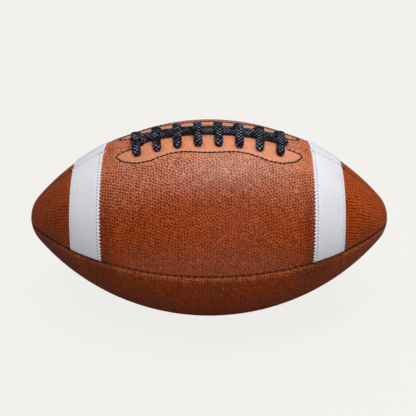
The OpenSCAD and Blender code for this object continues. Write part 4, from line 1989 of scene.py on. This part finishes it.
@dataclass
class Lace:
    """The braided lace, an oval cord that follows its route from end to end."""

    route: LaceRoute
    cord: BraidedCord
    run_size: Pair = (mm(2.65), mm(2.15))
    cross_size: Pair = (mm(3.45), mm(1.75))
    round_radius: float = mm(2.3)
    braid_depth: float = mm(0.3)
    spacing: float = mm(0.46)
    sides: int = 48
    softened: int = 9
    pull: float = 0.12
    upright: Pair = (0.7, 0.3)

    def centreline(self) -> tuple[Array, Array, Array]:
        """Works out the smooth line through the route.

        Returns:
            Evenly spaced points, the skin's outward direction at each, and what the strand does there.
        """
        skin = self.route.skin
        route = self.route.route()
        x, arc, height = (np.array([p[k] for p in route]) for k in range(3))
        kinds = np.array([p[3].value for p in route], float)
        corners = skin.spot(x, arc, height)
        out = skin.spot(x, arc, height + MM) - corners
        lengths = np.concatenate([[0], np.cumsum(np.linalg.norm(np.diff(corners, axis=0), axis=1))])
        fine = np.arange(0, lengths[-1], self.spacing)
        line = np.stack([np.interp(fine, lengths, corners[:, k]) for k in range(3)], axis=-1)
        out = np.stack([np.interp(fine, lengths, out[:, k]) for k in range(3)], axis=-1)
        out /= np.linalg.norm(out, axis=1)[:, None]
        kinds = np.round(np.interp(fine, lengths, kinds))
        window = np.hanning(self.softened)[1:-1]
        window /= window.sum()
        reach = len(window) // 2
        for k in range(3):
            padded = np.concatenate([np.full(reach, line[0, k]), line[:, k], np.full(reach, line[-1, k])])
            line[:, k] = np.convolve(padded, window, mode="valid")
        return line, out, kinds

    def sections(self) -> tuple[Array, Array, Array, Array, Array]:
        """Works out how the oval section lies along the line.

        Returns:
            The centres, the directions of the oval's width and of its thickness, and both half sizes.
        """
        line, out, kinds = self.centreline()
        ahead = np.gradient(line, axis=0)
        ahead /= np.linalg.norm(ahead, axis=1)[:, None]
        wide = np.empty_like(line)
        carried = Vector(np.cross(ahead[0], (0, 1, 0))).normalized()
        for i, tangent in enumerate(Vector(t) for t in ahead):
            if kinds[i] == Strand.RUN.value:
                wish = tangent.cross(Vector(out[i]))
            elif kinds[i] == Strand.CROSS.value:
                wish = Vector((1, 0, 0))
            else:
                wish = carried.copy()
            if wish.dot(carried) < 0:
                wish.negate()
            carried = carried.lerp(wish, self.pull)
            carried = (carried - tangent * carried.dot(tangent)).normalized()
            wide[i] = carried
        thick = np.cross(ahead, wide)
        even = np.full(self.softened, 1 / self.softened)
        crossing = np.convolve(kinds == Strand.CROSS.value, even, mode="same")
        upright = rise(np.abs(np.sum(ahead * out, axis=1)), *self.upright)
        flat = (1 - upright) * (kinds != Strand.HIDDEN.value)
        sizes = []
        for run, cross in zip(self.run_size, self.cross_size):
            flattened = run + (cross - run) * crossing
            sizes.append(self.round_radius + (flattened - self.round_radius) * flat)
        return line, wide, thick, *sizes

    def build(self) -> Mesh:
        """Rolls a flat grid into the cord and presses the braid into it.

        Returns:
            The lace's mesh, with its pattern.
        """
        line, wide, thick, half_width, half_thickness = self.sections()
        rings = len(line)
        bm = bmesh.new()
        bmesh.ops.create_grid(bm, x_segments=rings - 1, y_segments=self.sides, size=1)
        mesh = to_mesh(bm, "lace")
        grid = coordinates(mesh)
        ring = np.round((grid[:, 0] + 1) / 2 * (rings - 1)).astype(int)
        turn = np.round((grid[:, 1] + 1) / 2 * self.sides) / self.sides
        set_uv(mesh, ring * self.spacing, turn * MM)
        angle = turn * 2 * math.pi
        braid = self.braid_depth * (self.cord.height(ring * self.spacing, turn) - 1)
        a = (half_width[ring] + braid) * np.cos(angle)
        b = (half_thickness[ring] + braid) * np.sin(angle)
        set_coordinates(mesh, line[ring] + a[:, None] * wide[ring] + b[:, None] * thick[ring])
        bm = opened(mesh)
        bmesh.ops.remove_doubles(bm, verts=bm.verts, dist=MERGE_DISTANCE)
        bmesh.ops.holes_fill(bm, edges=[e for e in bm.edges if e.is_boundary], sides=0)
        bmesh.ops.recalc_face_normals(bm, faces=bm.faces)
        return to_mesh(bm, "lace")


# What lies inside


@dataclass(frozen=True)
class Layer:
    """A layer that reaches so far along X to each side, and round the ball from one arc to another.

    It has so many steps along the ball and round it, a top over the skin and a thickness.
    """

    half_length: float
    arcs: Pair
    steps: tuple[int, int]
    top: float
    thickness: float

    def build(self, skin: Skin, sign: int = 1, middle: float = 0.0) -> Mesh:
        """Builds the layer.

        Args:
            skin: The ball's skin.
            sign: The side that its arcs lie on.
            middle: Theta that its arcs start from.

        Returns:
            Its mesh.
        """
        end = float(skin.alpha_at(self.half_length))
        near, far = (sign * arc / skin.middle_radius for arc in self.arcs)
        alphas, stages = np.linspace(-end, end, self.steps[0] + 1), [(far - near, self.steps[1])]
        return to_mesh(shell(skin, alphas, middle + near, stages, self.top, self.thickness), "layer")


@dataclass
class Insides:
    """The layers under the leather: linings, facings, tongue, bladder and the patch of the valve."""

    relief: Relief
    route: LaceRoute
    valve: Matrix
    lining_top: float = mm(-2.5)
    lining: float = mm(0.8)
    lining_steps: tuple[int, int, int] = (120, 11, 4)
    opening: Layer = Layer(mm(71.3), (mm(-10.2), mm(10.2)), (24, 12), 0.0, mm(5))
    facing: Layer = Layer(mm(72.4), (mm(10.2), mm(29.8)), (72, 10), mm(-3.6), mm(1.2))
    tongue: Layer = Layer(mm(72.3), (mm(-29.7), mm(29.7)), (72, 26), mm(-10.4), mm(1))
    patch: Layer = Layer(mm(13.2), (mm(-13.2), mm(13.2)), (24, 24), mm(-5.1), mm(1.2))
    patch_radius: float = mm(11)
    patch_sides: int = 64
    bladder_top: float = mm(-3.6)
    bladder: float = mm(1.2)
    recess_h: float = mm(-11.7)
    recess_half_length: float = mm(74.7)
    recess_arc: float = mm(32.1)
    hole_radius: float = mm(2.6)
    valve_radius: float = mm(4.3)
    drill: float = mm(40)
    recess_run: float = mm(4)
    tip_merge: float = mm(0.01)
    bladder_steps: tuple[int, int, int] = (150, 12, 10)

    def fitted(self, mesh: Mesh) -> Mesh:
        """Gives a layer a pattern that follows the skin, and draws it in with the leather over it.

        Args:
            mesh: The layer's mesh.

        Returns:
            The same mesh.
        """
        skin = self.relief.skin
        alpha, theta, height = skin.place(coordinates(mesh))
        set_uv(mesh, skin.meridian(alpha), theta * skin.middle_radius)
        dent = self.relief.dent(alpha, theta * skin.radius(alpha))
        set_coordinates(mesh, skin.point(alpha, theta, height - dent))
        return mesh

    def build_lining(self, start: float, turn: float, side: Side | None) -> Mesh:
        """Builds a lining.

        Args:
            start: Theta of its first edge.
            turn: Its turn.
            side: The laced side that it is on, or nothing for a lower lining.

        Returns:
            Its mesh.
        """
        skin = self.relief.skin
        stations, steps, divide = self.lining_steps
        alphas, stages = skin.even_alphas(stations), [(turn, steps)]
        bm = shell(skin, alphas, start, stages, self.lining_top, self.lining, divide)
        mesh = to_mesh(bm, "lining")
        if side:
            holes = self.route.hole_frames(side)[: self.route.crosses]
            mesh = drilled(self.open_window(mesh), holes, self.hole_radius, self.drill)
        if side is Side.BACK:
            mesh = drilled(mesh, [self.valve], self.valve_radius, self.drill)
        return self.fitted(mesh)

    def open_window(self, mesh: Mesh) -> Mesh:
        """Cuts the opening under the runs of the lace out of a lining."""
        return boolean(mesh, self.opening.build(self.relief.skin), "DIFFERENCE")

    def build_facing(self, side: Side) -> Mesh:
        """Builds the facing under the holes of one side.

        Args:
            side: The side.

        Returns:
            Its mesh.
        """
        mesh = self.facing.build(self.relief.skin, side.value)
        holes = self.route.hole_frames(side)[: self.route.crosses]
        return self.fitted(drilled(mesh, holes, self.hole_radius, self.drill))

    def build_tongue(self) -> Mesh:
        """Builds the tongue under the lace."""
        return self.fitted(self.tongue.build(self.relief.skin))

    def build_bladder(self) -> Mesh:
        """Builds the bladder, drawn in under the lace and open at the valve.

        Returns:
            Its mesh.
        """
        skin = self.relief.skin
        stations, steps, divide = self.bladder_steps
        stages = [(2 * math.pi, steps)]
        bm = spun_sheet(skin, skin.even_alphas(stations), self.bladder_top, 0.0, stages, divide)
        bmesh.ops.remove_doubles(bm, verts=bm.verts, dist=self.tip_merge)
        bmesh.ops.recalc_face_normals(bm, faces=bm.faces)
        mesh = to_mesh(bm, "bladder")
        alpha, theta, height = skin.place(coordinates(mesh))
        depth = self.bladder_top - self.recess_h
        arc = np.abs(theta) * skin.middle_radius
        for end, place in ((self.recess_half_length, np.abs(skin.x(alpha))), (self.recess_arc, arc)):
            depth = depth * smooth((end + self.recess_run - place) / self.recess_run)
        set_coordinates(mesh, skin.point(alpha, theta, height - depth))
        bm = opened(mesh)
        bmesh.ops.solidify(bm, geom=bm.faces[:], thickness=self.bladder)
        return self.fitted(drilled(to_mesh(bm, "bladder"), [self.valve], self.valve_radius, self.drill))

    def build_patch(self) -> Mesh:
        """Builds the round patch that holds the valve inside the bladder.

        Returns:
            Its mesh.
        """
        mesh = self.patch.build(self.relief.skin, middle=-self.relief.skin.side_seam / 2)
        bm = bmesh.new()
        add_cylinder(bm, self.patch_radius, self.drill, self.patch_sides, self.valve)
        mesh = boolean(mesh, to_mesh(bm, "round"), "INTERSECT")
        return drilled(mesh, [self.valve], self.valve_radius, self.drill)


# Studio


@dataclass(frozen=True)
class Lamp:
    """A soft lamp: where it stands, its width and height, its power and its colour."""

    name: str
    spot: Spot
    size: Pair
    watts: float
    tint: tuple


@dataclass(frozen=True)
class Studio:
    """Plain pale floor, soft lamps and the camera at the photograph's angle."""

    background: tuple = rgb(242, 241, 237)
    floor: tuple = rgb(165, 164, 161)
    floor_shown: tuple = rgb(254, 253, 249)
    floor_share: float = 0.84
    target: Vector = Vector((0, 0, mm(79.9)))
    elevation: float = math.radians(32.5)
    distance: float = mm(750)
    lens: float = 79.39
    sensor: float = 36.0
    picture: float = 416.0
    slide_right: float = 1.15
    slide_down: float = 9.4
    floor_size: float = 12.0
    sky: tuple = rgb(235, 238, 245)
    sky_strength: float = 0.32
    lamps: tuple[Lamp, ...] = (
        Lamp("key", (0.12, -0.15, 1.45), (1.3, 0.4), 15.0, rgb(255, 252, 247)),
        Lamp("fill", (0.5, -1.35, 0.9), (0.9, 0.9), 6.0, rgb(240, 246, 255)),
        Lamp("rim", (0.3, 1.3, 1.1), (1.1, 0.7), 2.5, rgb(255, 252, 247)),
    )

    def place_camera(self) -> None:
        """Makes the camera."""
        data = bpy.data.cameras.new("camera")
        data.lens, data.sensor_width = self.lens, self.sensor
        data.shift_x = -self.slide_right / self.picture
        data.shift_y = self.slide_down / self.picture
        camera = linked("camera", data)
        back = Vector((0, -math.cos(self.elevation), math.sin(self.elevation)))
        camera.location = self.target + back * self.distance
        camera.rotation_euler = (-back).to_track_quat("-Z", "Y").to_euler()
        bpy.context.scene.camera = camera

    def lay_floor(self) -> None:
        """Makes the floor, which looks like the background and keeps a soft shadow."""
        bm = bmesh.new()
        bmesh.ops.create_grid(bm, x_segments=1, y_segments=1, size=self.floor_size / 2)
        floor = linked("floor", to_mesh(bm, "floor"))
        graph = Graph("floor")
        lit = graph.node("ShaderNodeBsdfDiffuse", values={"Color": self.floor})
        plain = graph.node("ShaderNodeEmission", values={"Color": self.floor_shown, "Strength": 1.0})
        seen = graph.node("ShaderNodeLightPath", output="Is Camera Ray")
        mixed = graph.node("ShaderNodeMixShader", values={0: seen * self.floor_share, 1: lit, 2: plain})
        graph.feed(graph.output.inputs["Surface"], mixed)
        floor.data.materials.append(graph.material)

    def light(self) -> None:
        """Fills the world with even light, and shows the camera the background."""
        world = bpy.data.worlds.new("studio")
        bpy.context.scene.world = world
        world.use_nodes = True
        tree = world.node_tree
        tree.nodes.clear()
        output = tree.nodes.new("ShaderNodeOutputWorld")
        mix = tree.nodes.new("ShaderNodeMixShader")
        path = tree.nodes.new("ShaderNodeLightPath")
        for index, (colour, power) in enumerate(((self.sky, self.sky_strength), (self.background, 1.0))):
            shade = tree.nodes.new("ShaderNodeBackground")
            shade.inputs["Color"].default_value = colour
            shade.inputs["Strength"].default_value = power
            tree.links.new(shade.outputs[0], mix.inputs[index + 1])
        tree.links.new(path.outputs["Is Camera Ray"], mix.inputs[0])
        tree.links.new(mix.outputs[0], output.inputs["Surface"])

    def add_lamp(self, lamp: Lamp) -> None:
        """Adds a lamp that points at the ball.

        Args:
            lamp: The lamp.
        """
        data = bpy.data.lights.new(lamp.name, "AREA")
        data.shape, data.size, data.size_y = "RECTANGLE", *lamp.size
        data.energy, data.color = lamp.watts, lamp.tint[:3]
        made = linked(lamp.name, data)
        made.location = lamp.spot
        made.rotation_euler = (self.target - made.location).to_track_quat("-Z", "Y").to_euler()

    def build(self) -> None:
        """Sets up the whole studio."""
        bpy.context.scene.view_settings.view_transform = "Standard"
        self.place_camera()
        self.lay_floor()
        self.light()
        for lamp in self.lamps:
            self.add_lamp(lamp)


# The whole ball


@dataclass
class Football:
    """The ball: its sub-assemblies and the order in which they are built and dressed."""

    skin: Skin = field(default_factory=Skin)

    def __post_init__(self) -> None:
        """Prepares what several sub-assemblies share."""
        self.relief = Relief(self.skin)
        self.pebbles = PebbleField(self.skin)
        self.route = LaceRoute(self.relief)
        self.outline = FacingOutline(self.skin)
        self.valve = self.skin.frame(0.0, -self.skin.side_seam / 2, 0.0)
        self.leather = PebbledLeather().material()
        self.thread = Thread("dark_thread", rgb(7, 6, 7), rgb(34, 28, 30)).material()
        self.white_thread = Thread("white_thread", rgb(196, 197, 203), rgb(244, 244, 248)).material()
        self.pale_thread = Thread("pale_thread", rgb(150, 146, 146), rgb(208, 205, 204)).material()

    def build_panels(self) -> None:
        """Builds the four leather panels."""
        side_seam = self.skin.side_seam
        for side in Side:
            part = side.name.lower()
            turn, rest = side.value * side_seam, side.value * (math.pi - side_seam)
            valve = self.valve if side is Side.BACK else None
            shared = {"relief": self.relief, "pebbles": self.pebbles, "side": side}
            laced = {"lacing": self.route, "outline": self.outline, "valve": valve}
            upper = Panel(f"leather_upper_{part}", start=0.0, turn=turn, **shared, **laced)
            lower = Panel(f"leather_lower_{part}", start=turn, turn=rest, **shared)
            for panel in (upper, lower):
                name = panel.name.replace("leather", "panel")
                add_piece(name, panel.build(), self.leather, [panel.name])

    def build_stripes(self) -> list[Stripe]:
        """Builds the four stripes.

        Returns:
            The stripes, for the sewing.
        """
        stripes = []
        finish = None
        for side in Side:
            for end in End:
                name = f"stripe_{side.name}_{end.name}".lower()
                stripe = Stripe(name, self.relief, self.pebbles, side, end)
                rows = (stripe.inner_row, stripe.length - stripe.outer_row)
                finish = finish or StripeLeather(rows=rows, pitch=stripe.stitch_pitch).material()
                add_piece(f"band_{side.name}_{end.name}".lower(), stripe.build(), finish, [name])
                stripes.append(stripe)
        return stripes

    def sew(self, stripes: Sequence[Stripe]) -> None:
        """Sews the seams, the facing's outline and the stripes.

        Args:
            stripes: The four stripes.
        """
        sewing = Sewing(self.relief, self.outline, stripes)
        end, opening, side_seam = sewing.seam_end_x, sewing.opening_x, self.skin.side_seam
        seams = (
            ("front", side_seam, -end, end, True),
            ("back", -side_seam, -end, end, True),
            ("bottom", math.pi, -end, end, False),
            ("top_left", 0.0, -end, -opening, True),
            ("top_right", 0.0, opening, end, True),
        )
        for name, *where in seams:
            mesh = sewing.seam(*where)
            add_piece(f"seam_stitches_{name}", mesh, self.thread, [f"seam_thread_{name}"])
        add_piece("seam_stitches_on_bands", sewing.pale.mesh(), self.pale_thread)
        for side in Side:
            part, mesh = side.name.lower(), sewing.facing(side)
            add_piece(f"facing_stitches_{part}", mesh, self.thread, [f"facing_thread_{part}"])
        for stripe in stripes:
            name = stripe.name.replace("stripe", "band_stitches")
            add_piece(name, sewing.stripe(stripe), self.white_thread)

    def lace_up(self) -> None:
        """Builds the lace."""
        cord = BraidedCord()
        add_piece("braided_lace", Lace(self.route, cord).build(), cord.material(), ["lace"])

    def fill(self) -> None:
        """Builds what lies inside."""
        inside = Insides(self.relief, self.route, self.valve)
        cloth = Cloth("lining_cloth", rgb(200, 192, 172), rgb(138, 128, 106)).material()
        hide = PlainHide("facing_hide", rgb(150, 98, 62), rgb(96, 56, 32)).material()
        soft = PlainHide("tongue_hide", rgb(162, 120, 82), rgb(112, 76, 48)).material()
        rubber = Rubber("bladder_rubber", rgb(66, 66, 70), rgb(38, 38, 40)).material()
        side_seam = self.skin.side_seam
        for side in Side:
            part, sign = side.name.lower(), side.value
            mesh = inside.build_lining(0.0, sign * side_seam, side)
            add_piece(f"cloth_upper_{part}", mesh, cloth, [f"lining_upper_{part}"])
            mesh = inside.build_lining(sign * side_seam, sign * (math.pi - side_seam), None)
            add_piece(f"cloth_lower_{part}", mesh, cloth, [f"lining_lower_{part}"])
            add_piece(f"facing_{part}", inside.build_facing(side), hide, [f"lace_facing_{part}"])
        add_piece("tongue", inside.build_tongue(), soft, ["lace_tongue"])
        add_piece("air_bladder", inside.build_bladder(), rubber, ["bladder"])
        add_piece("round_patch", inside.build_patch(), rubber, ["valve_patch"])
        moulded = {
            "valve_housing": Rubber("housing_rubber", rgb(40, 40, 42), rgb(20, 20, 21)),
            "valve_plug": Rubber("plug_rubber", rgb(26, 26, 28), rgb(10, 10, 11), 0.5),
        }
        for name, finish in moulded.items():
            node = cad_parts[name]
            node.data.materials.clear()
            node.data.materials.append(finish.material())
            log.info("%s: dressed as packed", name)

    def build(self) -> None:
        """Builds everything in order."""
        self.build_panels()
        self.sew(self.build_stripes())
        self.lace_up()
        self.fill()


def main() -> None:
    """Builds the studio and the ball."""
    logging.basicConfig(level=logging.INFO, format="%(message)s")
    Studio().build()
    Football().build()


if __name__ == "__main__":
    main()
